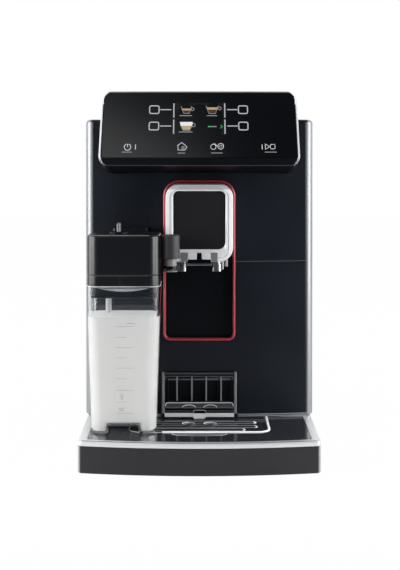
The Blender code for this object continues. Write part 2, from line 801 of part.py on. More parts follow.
def ring_back_y():
    return CORNER_Y - FRONT_SAG - RING_PROUD + RING_DEPTH


def make_niche_plate():
    """Shallow dark tray behind the ring, whose side walls guide the spout's flange."""
    floor_y = ring_back_y() + GROOVE_DEPTH
    rim_y = front_y(RING_HALF + GAP + NICHE_WALL) + WALL + GAP
    inner = ring_outline(-GAP)
    outer = ring_outline(-GAP - NICHE_WALL)
    solid("niche_plate", [at_y(inner, floor_y), at_y(inner, rim_y), at_y(outer, rim_y),
                          at_y(outer, floor_y + NICHE_FLOOR)], BLACK_SATIN)


def head_y(x, z):
    """Sloping front of the control head: a near-upright lip, then the glass."""
    if z < HEAD_BREAK_Z:
        share = (z - HEAD_LOW_Z) / (HEAD_BREAK_Z - HEAD_LOW_Z)
        slope_y = HEAD_LOW_Y + share * (HEAD_BREAK_Y - HEAD_LOW_Y)
    else:
        share = (z - HEAD_BREAK_Z) / (HEAD_HIGH_Z - HEAD_BREAK_Z)
        slope_y = HEAD_BREAK_Y + share * (HEAD_HIGH_Y - HEAD_BREAK_Y)
    return slope_y + HEAD_BULGE * (x / HEAD_HALF) ** 2


def head_outline(side_inset, top_inset, bottom_inset):
    corner = HEAD_CORNER - side_inset
    return rounded(-HEAD_HALF + side_inset, HEAD_HALF - side_inset, HEAD_LOW_Z + bottom_inset,
                   HEAD_HIGH_Z - top_inset, corner)


def head_slab(half, heights, near, far):
    """Slab that follows the sloping front, between two depths behind it."""
    steps = 12
    loops = []
    for step in range(steps + 1):
        x = -half + 2 * half * step / steps
        front = [(head_y(x, z) + near, z) for z in heights]
        back = [(head_y(x, z) + far, z) for z in reversed(heights)]
        loops.append(at_x(front + back, x))
    return loops


def through_head(outline):
    return [at_y(outline, HEAD_LOW_Y - OVERRUN), at_y(outline, HEAD_HIGH_Y + TRIM_DEPTH + OVERRUN)]


def make_control_head():
    """Housing, bright trim ring, glass front and the board behind the glass."""
    outer = head_outline(0, 0, 0)
    opening = head_outline(TRIM_SIDE, TRIM_TOP, TRIM_BOTTOM)
    plug = head_outline(TRIM_SIDE + GAP, TRIM_TOP + GAP, TRIM_BOTTOM + GAP)
    wide = HEAD_HALF + OVERRUN
    low_z = HEAD_LOW_Z - OVERRUN
    high_z = HEAD_HIGH_Z + OVERRUN
    whole = (low_z, HEAD_BREAK_Z, high_z)
    rear_outline = rounded(-HEAD_HALF, HEAD_HALF, HEAD_REAR_LOW_Z, HEAD_REAR_TOP_Z, HEAD_CORNER)
    housing = solid("control_housing", [at_y(outer, HEAD_LOW_Y - OVERRUN),
                                        at_y(outer, HEAD_LOW_Y + TRIM_DEPTH),
                                        at_y(rear_outline, HEAD_REAR_Y)], BLACK_GLOSS)
    step_z = FASCIA_TOP_Z + GAP
    steps = 12
    step_loops = []
    for step in range(steps + 1):
        x = -wide + 2 * wide * step / steps
        behind = HEAD_REAR_Y + OVERRUN
        ahead = front_y(x) - GAP
        step_loops.append([(x, ahead, HEAD_REAR_LOW_Z - OVERRUN), (x, behind, HEAD_REAR_LOW_Z - OVERRUN),
                           (x, behind, step_z), (x, ahead, step_z)])
    cut(housing, step_loops)
    cut(housing, head_slab(wide, whole, -wide, TRIM_DEPTH + GAP))
    front_plug = join(housing, head_slab(wide, whole, 0, TRIM_DEPTH + WALL))
    trim(front_plug, through_head(plug))
    seat_half = HEAD_HALF - TRIM_SIDE / 2
    glass_back = GLASS_THICKNESS + GAP
    cut(housing, head_slab(seat_half, (HEAD_BREAK_Z, high_z), -WALL, glass_back))
    board_low_z = HEAD_BREAK_Z + BOARD_LOW_MARGIN
    board_high_z = HEAD_HIGH_Z - BOARD_HIGH_MARGIN
    board_far = glass_back + GAP + BOARD_THICKNESS
    cut(housing, head_slab(BOARD_HALF + GAP, (board_low_z - GAP, board_high_z + GAP), -WALL,
                           board_far + GAP))
    solid("display_board", head_slab(BOARD_HALF, (board_low_z, board_high_z), glass_back, board_far),
          BOARD_GREEN)

    bright = solid("control_trim", head_slab(wide, whole, 0, TRIM_DEPTH), BRIGHT_SILVER)
    trim(bright, through_head(outer))
    cut(bright, through_head(opening))

    glass = solid("control_glass", head_slab(seat_half, (HEAD_BREAK_Z + GAP, high_z), 0, GLASS_THICKNESS),
                  BLACK_GLOSS)
    pane = rounded(-HEAD_HALF + TRIM_SIDE + GAP, HEAD_HALF - TRIM_SIDE - GAP, HEAD_BREAK_Z - OVERRUN,
                   HEAD_HIGH_Z - TRIM_TOP - GAP, GAP, GLASS_CORNER)
    trim(glass, through_head(pane))


def deck_profile(inset):
    """Side view of the stepped top deck."""
    front = HEAD_REAR_Y + GAP
    low_top = HEAD_REAR_TOP_Z - inset
    high_top = OVERALL_HEIGHT - inset
    rear = REAR_Y - inset
    foot = SHOULDER_Z + GAP
    return [(front + inset, foot), (front + inset, low_top - DECK_EDGE), (front + inset + DECK_EDGE, low_top),
            (DECK_STEP_LOW_Y, low_top), (DECK_STEP_HIGH_Y, high_top), (rear - DECK_EDGE, high_top),
            (rear, high_top - DECK_EDGE), (rear, foot)]


def tank_outline(inset):
    return rounded(TANK_LEFT_X + inset, TANK_RIGHT_X - inset, TANK_FRONT_Y + inset, TANK_REAR_Y - inset,
                   TANK_CORNER - inset)


def hopper_outline(inset):
    return rounded(HOPPER_LEFT_X + inset, HOPPER_RIGHT_X - inset, TANK_FRONT_Y + inset, TANK_REAR_Y - inset,
                   HOPPER_CORNER - inset)


def chute_outline(half, radius):
    return rounded(CHUTE_X - half, CHUTE_X + half, CHUTE_Y - half, CHUTE_Y + half, radius)


def make_top_deck():
    """Stepped deck with wells for the tank, the hopper, the chute and the grind knob."""
    deck = solid("top_deck", [
        at_x(deck_profile(DECK_EDGE), -DECK_HALF),
        at_x(deck_profile(0), -DECK_HALF + DECK_EDGE),
        at_x(deck_profile(0), DECK_HALF - DECK_EDGE),
        at_x(deck_profile(DECK_EDGE), DECK_HALF),
    ], BLACK_SATIN)
    foot_z = SHOULDER_Z + GAP
    join(deck, block((-DECK_FOOT_HALF, HEAD_REAR_Y + GAP, foot_z),
                     (DECK_FOOT_HALF, REAR_Y, foot_z + DECK_FOOT_HEIGHT)))
    inner_half = DECK_HALF - DECK_EDGE
    inner = [(y, max(z, foot_z - OVERRUN)) for y, z in deck_profile(DECK_EDGE)]
    inner[0] = (inner[0][0], foot_z - OVERRUN)
    inner[-1] = (inner[-1][0], foot_z - OVERRUN)
    hollow = cut(deck, [at_x(inner, -inner_half), at_x(inner, inner_half)])
    well_radius = KNOB_RADIUS + KNOB_CLEAR
    well_floor_z = OVERALL_HEIGHT - KNOB_HEIGHT - GAP
    cut(hollow, turned((KNOB_X, KNOB_Y), [(well_radius + KNOB_WELL_WALL, well_floor_z - KNOB_WELL_WALL),
                                          (well_radius + KNOB_WELL_WALL, OVERALL_HEIGHT)]))
    cut(deck, turned((KNOB_X, KNOB_Y), [(well_radius, well_floor_z),
                                        (well_radius, OVERALL_HEIGHT + OVERRUN)]))
    below_z = HEAD_REAR_TOP_Z - 2 * OVERRUN
    above_z = OVERALL_HEIGHT + OVERRUN
    openings = (tank_outline(-DOCK_CLEAR), hopper_outline(-DOCK_CLEAR),
                chute_outline(CHUTE_HALF + GAP, CHUTE_CORNER + GAP))
    for outline in openings:
        cut(deck, [at_z(outline, below_z), at_z(outline, above_z)])


def make_grind_knob():
    """Fluted knob in its well, with a finger bar across the top."""
    low_z = OVERALL_HEIGHT - KNOB_HEIGHT
    bar_height = KNOB_HEIGHT / 3
    outline = []
    for step in range(4 * KNOB_LOBES):
        turn = math.tau * step / (4 * KNOB_LOBES)
        radius = KNOB_RADIUS - KNOB_LOBE_DEPTH * (1 - math.cos(KNOB_LOBES * turn)) / 2
        outline.append((KNOB_X + radius * math.cos(turn), KNOB_Y + radius * math.sin(turn)))
    knob = solid("grind_knob", [at_z(outline, low_z), at_z(outline, OVERALL_HEIGHT - bar_height)],
                 DARK_GREY, (KNOB_X, KNOB_Y, low_z))
    reach = KNOB_RADIUS * 3 / 4
    bar = KNOB_RADIUS / 5
    join(knob, block((KNOB_X - reach, KNOB_Y - bar, low_z + bar_height),
                     (KNOB_X + reach, KNOB_Y + bar, OVERALL_HEIGHT), bar / 2))


def spout_outline(inset):
    return rounded(-SPOUT_HALF + inset, SPOUT_HALF - inset, SPOUT_LOW_Z + inset, SPOUT_HIGH_Z - inset,
                   SPOUT_LOW_RADIUS - inset, SPOUT_TOP_RADIUS - inset)


def face_outline(inset):
    return rounded(-SPOUT_HALF + BEZEL_BAND + inset, SPOUT_HALF - BEZEL_BAND - inset,
                   SPOUT_LOW_Z + CHIN_HEIGHT + inset, SPOUT_HIGH_Z - BEZEL_BAND - inset, FACE_CORNER - inset)


def make_spout():
    """Coffee spout: silver bezel, dark face plate, carriage with its flange, two nozzles."""
    back_y = ring_back_y()
    seat_y = SPOUT_FRONT_Y + BEZEL_SEAT
    cavity_y = seat_y + SPOUT_SKIN
    step_y = SPOUT_FRONT_Y + BEZEL_STEP_DEPTH
    bezel = solid("spout_bezel", [
        at_y(spout_outline(SPOUT_SHELL), cavity_y),
        at_y(spout_outline(SPOUT_SHELL), back_y),
        at_y(spout_outline(0), back_y),
        at_y(spout_outline(0), SPOUT_FRONT_Y + BEZEL_CHAMFER),
        at_y(spout_outline(BEZEL_CHAMFER), SPOUT_FRONT_Y),
        at_y(spout_outline(BEZEL_STEP), SPOUT_FRONT_Y),
        at_y(spout_outline(BEZEL_STEP), step_y),
        at_y(face_outline(0), step_y),
        at_y(face_outline(0), seat_y),
    ], BRIGHT_SILVER)
    mouth_low_z = SPOUT_LOW_Z - OVERRUN
    cut(bezel, block((-SPOUT_MOUTH_HALF, cavity_y + GAP, mouth_low_z),
                     (SPOUT_MOUTH_HALF, CORNER_Y - RING_DEPTH - OVERRUN, SPOUT_LOW_Z + 2 * SPOUT_SHELL)))
    sensor = rounded(-SENSOR_HALF, SENSOR_HALF, SPOUT_LOW_Z + SENSOR_LOW_MARGIN,
                     SPOUT_LOW_Z + SENSOR_LOW_MARGIN + SENSOR_HEIGHT)
    cut(bezel, [at_y(sensor, SPOUT_FRONT_Y - OVERRUN), at_y(sensor, SPOUT_FRONT_Y + SENSOR_DEPTH)])

    solid("spout_face_plate", [at_y(face_outline(GAP), seat_y - GAP - FACE_THICKNESS),
                               at_y(face_outline(GAP), seat_y - GAP)], DARK_GREY)

    flange_y = back_y + GAP
    neck = spout_outline(SPOUT_SHELL + GAP)
    flange = rounded(-FLANGE_HALF, FLANGE_HALF, SPOUT_LOW_Z, SPOUT_HIGH_Z, SPOUT_LOW_RADIUS, SPOUT_TOP_RADIUS)
    solid("spout_carriage", [at_y(flange, flange_y + FLANGE_THICKNESS), at_y(flange, flange_y),
                             at_y(neck, flange_y), at_y(neck, cavity_y + GAP)], BLACK_SATIN)

    seat_z = SPOUT_LOW_Z + SPOUT_SHELL
    for name, side in (("spout_nozzle_left", -1), ("spout_nozzle_right", 1)):
        profile = [
            (NOZZLE_BORE, NOZZLE_LOW_Z + NOZZLE_DEPTH),
            (NOZZLE_BORE, NOZZLE_LOW_Z),
            (NOZZLE_RADIUS, NOZZLE_LOW_Z),
            (NOZZLE_RADIUS, seat_z),
        ]
        solid(name, turned((side * NOZZLE_X, NOZZLE_Y), profile), CHROME)


def tray_plan(inset):
    """Plan of the tray: straight rear, bowed front with small round corners."""
    radius = max(TRAY_CORNER - inset, TRAY_WALL)
    side = bow_side(PAN_HALF - inset, TRAY_CORNER_Y + inset, TRAY_TIP_Y + inset, radius)
    left = mirrored(side)[:-1]
    rear_y = TRAY_REAR_Y - inset
    return left + side + [(PAN_HALF - inset, rear_y), (-PAN_HALF + inset, rear_y)]


def make_drip_tray():
    """Front basin and the long tongue that carries the grounds container."""
    top_z = TRAY_TOP_Z - RIM_HEIGHT - GAP
    ledge_z = top_z - LEDGE_HEIGHT
    floor_z = TRAY_FLOOR_Z + TRAY_FLOOR
    tray = solid("drip_tray", [at_z(tray_plan(TRAY_WALL / 2), TRAY_FLOOR_Z),
                               at_z(tray_plan(0), TRAY_FLOOR_Z + TRAY_WALL / 2),
                               at_z(tray_plan(0), top_z)], BLACK_SATIN)
    tongue_z = FOOT_HEIGHT + PAN_FLOOR + GAP
    join(tray, block((-TONGUE_HALF, TRAY_REAR_Y - TRAY_WALL / 2, tongue_z), (TONGUE_HALF, TONGUE_REAR_Y, top_z),
                     TONGUE_WALL))
    ledge = tray_plan(RIM_WIDTH + GAP + LEDGE_WIDTH)
    cut(tray, [at_z(tray_plan(TRAY_WALL), floor_z), at_z(tray_plan(TRAY_WALL), ledge_z),
               at_z(ledge, ledge_z), at_z(ledge, top_z + OVERRUN)])
    inner = TONGUE_HALF - TONGUE_WALL
    cut(tray, block((-inner, TRAY_REAR_Y, tongue_z + TONGUE_WALL),
                    (inner, TONGUE_REAR_Y - TONGUE_WALL, top_z + OVERRUN), TONGUE_WALL))
    rail_outer = BIN_HALF - BIN_CORNER / 2
    rail_inner = rail_outer - TONGUE_WALL
    for low_x, high_x in ((-rail_outer, -rail_inner), (rail_inner, rail_outer)):
        join(tray, block((low_x, TRAY_REAR_Y, tongue_z + TONGUE_WALL / 2),
                         (high_x, TONGUE_REAR_Y - TONGUE_WALL / 2, BIN_LOW_Z - GAP)))


def make_tray_rim():
    low_z = TRAY_TOP_Z - RIM_HEIGHT
    edge = RING_EDGE
    solid("tray_rim", [
        at_z(tray_plan(0), low_z),
        at_z(tray_plan(0), TRAY_TOP_Z - edge),
        at_z(tray_plan(edge), TRAY_TOP_Z),
        at_z(tray_plan(RIM_WIDTH), TRAY_TOP_Z),
        at_z(tray_plan(RIM_WIDTH), low_z),
    ], BRIGHT_SILVER, ring=True)


def make_tray_cover():
    """Polished cover with a shallow dish, drain slots, two drain holes and the float hole."""
    outer = tray_plan(RIM_WIDTH + GAP)
    inner = tray_plan(RIM_WIDTH + GAP + COVER_SKIRT)
    low_z = TRAY_TOP_Z - RIM_HEIGHT
    under_z = TRAY_TOP_Z - COVER_THICKNESS
    cover = solid("tray_cover", [at_z(inner, under_z), at_z(inner, low_z), at_z(outer, low_z),
                                 at_z(outer, TRAY_TOP_Z)], STEEL)
    above_z = TRAY_TOP_Z + OVERRUN
    dish_z = TRAY_TOP_Z - DISH_DEPTH
    dish_rear_y = TRAY_REAR_Y - RIM_WIDTH - DISH_MARGIN
    dish = rounded(-DISH_HALF, DISH_HALF, DISH_FRONT_Y, dish_rear_y, DISH_CORNER, DISH_MARGIN)
    cut(cover, [at_z(dish, dish_z), at_z(dish, above_z)])
    tab = rounded(-TAB_HALF, TAB_HALF, DISH_FRONT_Y - TAB_REACH, DISH_FRONT_Y + DISH_CORNER, DISH_MARGIN)
    cut(cover, [at_z(tab, dish_z), at_z(tab, above_z)])
    holes = [circle(side * DRAIN_X, DRAIN_Y, DRAIN_RADIUS) for side in (-1, 1)]
    for depth, half in zip(SLOT_YS, SLOT_HALVES):
        reach = SLOT_WIDTH / 2
        holes.append(rounded(-half, half, depth - reach, depth + reach, reach - GAP))
    float_half = FLOAT_HALF + FLOAT_CLEAR
    float_depth = FLOAT_DEPTH + FLOAT_CLEAR
    holes.append(rounded(-float_half, float_half, FLOAT_Y - float_depth, FLOAT_Y + float_depth))
    for hole in holes:
        cut(cover, [at_z(hole, low_z - OVERRUN), at_z(hole, above_z)])


def make_tray_float():
    """Float that rises through the cover when the tray is full."""
    low_z = TRAY_FLOOR_Z + TRAY_FLOOR + GAP
    loops = block((-FLOAT_HALF, FLOAT_Y - FLOAT_DEPTH, low_z),
                  (FLOAT_HALF, FLOAT_Y + FLOAT_DEPTH, TRAY_TOP_Z - DISH_DEPTH), FLOAT_DEPTH / 3)
    solid("tray_float", loops, RED_SATIN, (0, FLOAT_Y, low_z))


def make_grounds_container():
    front_y_in = FRONT_FACE_Y + FRONT_THICKNESS + GAP
    container = solid("grounds_container", [
        at_z(rounded(-BIN_HALF + BIN_WALL, BIN_HALF - BIN_WALL, front_y_in, BIN_REAR_Y - BIN_WALL, BIN_CORNER),
             BIN_LOW_Z),
        at_z(rounded(-BIN_HALF, BIN_HALF, front_y_in, BIN_REAR_Y, BIN_CORNER), BIN_HIGH_Z),
    ], DARK_GREY)
    inner_low = rounded(-BIN_HALF + 2 * BIN_WALL, BIN_HALF - 2 * BIN_WALL, front_y_in + BIN_WALL,
                        BIN_REAR_Y - 2 * BIN_WALL, BIN_CORNER - BIN_WALL)
    inner_high = rounded(-BIN_HALF + BIN_WALL, BIN_HALF - BIN_WALL, front_y_in + BIN_WALL,
                         BIN_REAR_Y - BIN_WALL, BIN_CORNER - BIN_WALL)
    cut(container, [at_z(inner_low, BIN_LOW_Z + BIN_WALL), at_z(inner_high, BIN_HIGH_Z + OVERRUN / 9)])


def make_container_front():
    """Front plate of the grounds container, with the recess that the shelf folds into."""
    low_z = TRAY_TOP_Z + GAP
    outline = rounded(-FRONT_HALF, FRONT_HALF, low_z, FRONT_HIGH_Z, GAP, FRONT_CORNER)
    back_y = FRONT_FACE_Y + FRONT_THICKNESS
    plate = solid("container_front", [at_y(outline, FRONT_FACE_Y), at_y(outline, back_y)], BLACK_GLOSS)
    half = FRONT_HALF - FRONT_POST
    recess = rounded(-half, half, SHELF_LOW_Z - SHELF_CLEAR, FRONT_HIGH_Z - FRONT_LIP)
    cut(plate, [at_y(recess, FRONT_FACE_Y - OVERRUN), at_y(recess, FRONT_FACE_Y + FRONT_RECESS)])
    join_container_strip(plate)


def make_espresso_shelf():
    """Slatted shelf for small cups, folded up flat in the recess."""
    back_y = FRONT_FACE_Y + FRONT_RECESS - 2 * GAP
    face_y = back_y - SHELF_THICKNESS
    high_z = FRONT_HIGH_Z - FRONT_LIP - SHELF_CLEAR
    outline = rounded(-SHELF_HALF, SHELF_HALF, SHELF_LOW_Z, high_z)
    pivot = (0, (face_y + back_y) / 2, SHELF_LOW_Z + SHELF_THICKNESS / 2)
    shelf = solid("espresso_shelf", [at_y(outline, face_y), at_y(outline, back_y)], BLACK_GLOSS, pivot)
    bays = SHELF_RIB_COUNT + 1
    width = 2 * (SHELF_HALF - SHELF_BAR)
    window = (width - SHELF_RIB_COUNT * SHELF_RIB_WIDTH) / bays
    for index in range(bays):
        low_x = -width / 2 + index * (window + SHELF_RIB_WIDTH)
        opening = rounded(low_x, low_x + window, SHELF_WINDOW_LOW_Z, high_z - SHELF_BAR)
        cut(shelf, [at_y(opening, face_y - GAP), at_y(opening, back_y + GAP)])


def join_container_strip(plate):
    """Add the strip with its finger tab along the foot of the container's front."""
    back_y = FRONT_FACE_Y + FRONT_THICKNESS / 2
    face_y = FRONT_FACE_Y - STRIP_THICKNESS
    low_z = TRAY_TOP_Z + GAP
    tab_z = STRIP_HIGH_Z + STRIP_TAB_HEIGHT
    outline = [(-FRONT_HALF, low_z), (FRONT_HALF, low_z), (FRONT_HALF, STRIP_HIGH_Z),
               (STRIP_TAB_HALF, STRIP_HIGH_Z), (STRIP_TAB_HALF, tab_z - STRIP_THICKNESS),
               (STRIP_TAB_HALF - STRIP_THICKNESS, tab_z), (-STRIP_TAB_HALF + STRIP_THICKNESS, tab_z),
               (-STRIP_TAB_HALF, tab_z - STRIP_THICKNESS), (-STRIP_TAB_HALF, STRIP_HIGH_Z),
               (-FRONT_HALF, STRIP_HIGH_Z)]
    join(plate, [at_y(outline, face_y), at_y(outline, back_y)])


def make_inner_frame():
    """Table on two legs with the tall bulkhead, as one folded chassis."""
    inner = CHANNEL_HALF + CHANNEL_WALL / 5
    outer = inner + LEG_THICKNESS
    foot_z = BODY_FOOT_Z
    under_z = TABLE_TOP_Z - TABLE_THICKNESS
    right_x = BULKHEAD_X + BULKHEAD_THICKNESS / 2
    left_x = BULKHEAD_X - BULKHEAD_THICKNESS / 2
    section = [
        (-outer, foot_z), (-inner, foot_z), (-inner, under_z), (inner, under_z), (inner, foot_z),
        (outer, foot_z), (outer, under_z), (TABLE_HALF, under_z), (TABLE_HALF, TABLE_TOP_Z),
        (right_x, TABLE_TOP_Z), (right_x, BULKHEAD_TOP_Z), (left_x, BULKHEAD_TOP_Z),
        (left_x, TABLE_TOP_Z), (-TABLE_HALF, TABLE_TOP_Z), (-TABLE_HALF, under_z), (-outer, under_z),
    ]
    rear_y = REAR_INNER_Y - GAP
    frame = solid("inner_frame", [at_y(section, TABLE_FRONT_Y), at_y(section, rear_y)], GREY_PLASTIC)
    cut(frame, block((DROP_X - DROP_HALF, DROP_FRONT_Y, under_z - OVERRUN),
                     (DROP_X + DROP_HALF, DROP_REAR_Y, TABLE_TOP_Z + OVERRUN), WALL))


def make_water_tank():
    """Tank dock with its valve seat, the tank over it and the tank's lid."""
    dock_low_z = TABLE_TOP_Z + GAP
    dock_top_z = dock_low_z + DOCK_HEIGHT
    outer = tank_outline(-DOCK_CLEAR - DOCK_WALL)
    inner = tank_outline(-DOCK_CLEAR)
    dock = solid("tank_dock", [at_z(inner, dock_top_z), at_z(inner, dock_top_z + DOCK_WALL_HEIGHT),
                               at_z(outer, dock_top_z + DOCK_WALL_HEIGHT), at_z(outer, dock_low_z)],
                 DARK_GREY)
    join(dock, turned((VALVE_X, VALVE_Y), [(VALVE_RADIUS, dock_low_z + DOCK_HEIGHT / 2),
                                           (VALVE_RADIUS, dock_top_z + VALVE_HEIGHT)]))
    low_z = dock_top_z + GAP
    high_z = OVERALL_HEIGHT - TANK_LID_THICKNESS - GAP
    tank = solid("water_tank", [at_z(tank_outline(TANK_WALL), low_z), at_z(tank_outline(0), low_z + TANK_WALL),
                                at_z(tank_outline(0), high_z)], CLEAR, (0, 0, low_z))
    hollow = cut(tank, [at_z(tank_outline(2 * TANK_WALL), low_z + TANK_WALL),
                        at_z(tank_outline(TANK_WALL), low_z + 2 * TANK_WALL),
                        at_z(tank_outline(TANK_WALL), high_z + OVERRUN)])
    socket = VALVE_RADIUS + VALVE_CLEAR
    socket_z = dock_top_z + VALVE_HEIGHT + VALVE_CLEAR
    cut(hollow, turned((VALVE_X, VALVE_Y), [(socket + TANK_BOSS_WALL, low_z), (socket + TANK_BOSS_WALL,
                                             socket_z + TANK_BOSS_WALL)]))
    cut(tank, turned((VALVE_X, VALVE_Y), [(socket, low_z - OVERRUN), (socket, socket_z)]))

    pivot = ((TANK_LEFT_X + TANK_RIGHT_X) / 2, TANK_REAR_Y, OVERALL_HEIGHT)
    lid_z = OVERALL_HEIGHT - TANK_LID_THICKNESS
    lid = solid("tank_lid", [at_z(tank_outline(0), lid_z), at_z(tank_outline(0), OVERALL_HEIGHT - GAP),
                             at_z(tank_outline(GAP), OVERALL_HEIGHT)], BLACK_SATIN, pivot)
    cut(lid, turned((pivot[0], TANK_FRONT_Y + 2 * GRIP_RADIUS),
                    [(GRIP_RADIUS * 2 / 3, OVERALL_HEIGHT - GRIP_HEIGHT), (GRIP_RADIUS, OVERALL_HEIGHT + GAP)]))


def make_bean_hopper():
    """Funnel-shaped hopper that stands on the grinder, and its lift-off lid."""
    high_z = OVERALL_HEIGHT - HOPPER_LID_THICKNESS - GAP
    low_z = GRINDER_HIGH_Z + GAP
    center = (GRINDER_X, GRINDER_Y)
    outer = [
        at_z(corner_circle(*center, HOPPER_NECK_RADIUS), low_z),
        at_z(corner_circle(*center, HOPPER_NECK_RADIUS), HOPPER_NECK_Z),
        at_z(hopper_outline(0), HOPPER_SHELF_Z),
        at_z(hopper_outline(0), high_z),
    ]
    hopper = solid("bean_hopper", outer, CLEAR)
    bore = HOPPER_NECK_RADIUS - HOPPER_WALL
    cut(hopper, [
        at_z(corner_circle(*center, bore), low_z - OVERRUN),
        at_z(corner_circle(*center, bore), HOPPER_NECK_Z + HOPPER_WALL / 2),
        at_z(hopper_outline(HOPPER_WALL), HOPPER_SHELF_Z + HOPPER_WALL / 2),
        at_z(hopper_outline(HOPPER_WALL), high_z + OVERRUN),
    ])
    lid_z = OVERALL_HEIGHT - HOPPER_LID_THICKNESS
    lid = solid("hopper_lid", [at_z(hopper_outline(0), lid_z), at_z(hopper_outline(0), OVERALL_HEIGHT - GAP),
                               at_z(hopper_outline(GAP), OVERALL_HEIGHT)], BLACK_SATIN,
                (GRINDER_X, GRINDER_Y, lid_z))
    cut(lid, turned(center, [(GRIP_RADIUS * 2 / 3, OVERALL_HEIGHT - GRIP_HEIGHT),
                             (GRIP_RADIUS, OVERALL_HEIGHT + GAP)]))


def toothed_circle(radius, base_z, rise, teeth):
    """Circle whose height zigzags, one tooth for each pair of points."""
    points = []
    for step in range(2 * teeth):
        turn = math.tau * step / (2 * teeth)
        height = base_z + rise * (step % 2)
        points.append((GRINDER_X + radius * math.cos(turn), GRINDER_Y + radius * math.sin(turn), height))
    return points


def make_grinder():
    """Grinder cup, the pair of toothed burrs in it and the motor under it."""
    center = (GRINDER_X, GRINDER_Y)
    bore = GRINDER_RADIUS - GRINDER_WALL
    floor_z = GRINDER_LOW_Z + GRINDER_FLOOR
    shaft_hole = BURR_SHAFT_RADIUS + 2 * GAP
    ceiling_z = GRINDER_HIGH_Z - BURR_MOUTH_HEIGHT
    solid("grinder_housing", turned(center, [
        (shaft_hole, GRINDER_LOW_Z), (shaft_hole, floor_z), (bore, floor_z), (bore, ceiling_z),
        (BURR_MOUTH_RADIUS, ceiling_z), (BURR_MOUTH_RADIUS, GRINDER_HIGH_Z),
        (GRINDER_RADIUS, GRINDER_HIGH_Z), (GRINDER_RADIUS, GRINDER_LOW_Z),
    ], FINE_STEPS), GREY_PLASTIC, ring=True)

    burr_z = floor_z + BURR_RISE
    face_z = burr_z + BURR_HEIGHT
    steps = 2 * BURR_TOOTH_COUNT
    shaft = at_z(circle(*center, BURR_SHAFT_RADIUS, steps), GRINDER_LOW_Z)
    solid("lower_burr", [
        shaft,
        at_z(circle(*center, BURR_SHAFT_RADIUS, steps), burr_z),
        at_z(circle(*center, BURR_RADIUS, steps), burr_z),
        toothed_circle(BURR_RADIUS, face_z, BURR_TOOTH_HEIGHT, BURR_TOOTH_COUNT),
        toothed_circle(BURR_BORE, face_z, BURR_TOOTH_HEIGHT, BURR_TOOTH_COUNT),
        at_z(circle(*center, BURR_BORE, steps), face_z - BURR_TOOTH_HEIGHT),
    ], STEEL, (GRINDER_X, GRINDER_Y, burr_z))

    upper_face_z = face_z + BURR_TOOTH_HEIGHT + BURR_SPLIT
    upper_top_z = upper_face_z + BURR_TOOTH_HEIGHT + BURR_HEIGHT
    outer = bore - GAP
    solid("upper_burr", [
        toothed_circle(outer, upper_face_z, BURR_TOOTH_HEIGHT, BURR_TOOTH_COUNT),
        at_z(circle(*center, outer, steps), upper_top_z),
        at_z(circle(*center, BURR_MOUTH_RADIUS, steps), upper_top_z),
        toothed_circle(BURR_MOUTH_RADIUS, upper_face_z, BURR_TOOTH_HEIGHT, BURR_TOOTH_COUNT),
    ], STEEL, ring=True)

    low_z = TABLE_TOP_Z + GAP
    top_z = GRINDER_LOW_Z - GAP
    solid("grinder_motor", turned(center, [
        (MOTOR_RADIUS + MOTOR_FLANGE, low_z), (MOTOR_RADIUS + MOTOR_FLANGE, low_z + MOTOR_FLANGE_HEIGHT),
        (MOTOR_RADIUS, low_z + MOTOR_FLANGE_HEIGHT), (MOTOR_RADIUS, top_z - 2 * MOTOR_SHOULDER),
        (MOTOR_RADIUS - MOTOR_SHOULDER, top_z - MOTOR_SHOULDER), (MOTOR_BOSS_RADIUS, top_z - MOTOR_SHOULDER),
        (MOTOR_BOSS_RADIUS, top_z),
    ]), STEEL)


def make_preground_chute():
    """Tapered chute for ground coffee, with a rim on the deck and a flip lid."""
    rim_z = HEAD_REAR_TOP_Z + GAP
    rim_top_z = rim_z + CHUTE_RIM_HEIGHT
    low_z = BREW_HIGH_Z + GAP
    rim = CHUTE_HALF + CHUTE_RIM
    shoulder_z = rim_z - 2 * OVERRUN
    chute = solid("preground_chute", [
        at_z(chute_outline(CHUTE_LOW_HALF, CHUTE_CORNER), low_z),
        at_z(chute_outline(CHUTE_HALF, CHUTE_CORNER), shoulder_z),
        at_z(chute_outline(CHUTE_HALF, CHUTE_CORNER), rim_z),
        at_z(chute_outline(rim, CHUTE_CORNER), rim_z),
        at_z(chute_outline(rim, CHUTE_CORNER), rim_top_z),
    ], DARK_GREY)
    cut(chute, [
        at_z(chute_outline(CHUTE_LOW_HALF - CHUTE_WALL, CHUTE_CORNER - CHUTE_WALL), low_z - OVERRUN / 6),
        at_z(chute_outline(CHUTE_HALF - CHUTE_WALL, CHUTE_CORNER - CHUTE_WALL), shoulder_z),
        at_z(chute_outline(CHUTE_HALF - CHUTE_WALL, CHUTE_CORNER - CHUTE_WALL), rim_top_z + OVERRUN),
    ])
    lid_z = rim_top_z + GAP
    lid_top_z = lid_z + CHUTE_LID_THICKNESS
    solid("preground_lid", [
        at_z(chute_outline(rim, CHUTE_CORNER), lid_z),
        at_z(chute_outline(rim, CHUTE_CORNER), lid_top_z - GAP),
        at_z(chute_outline(rim - GAP, CHUTE_CORNER - GAP), lid_top_z),
    ], BLACK_SATIN, (CHUTE_X, CHUTE_Y + rim, lid_top_z))


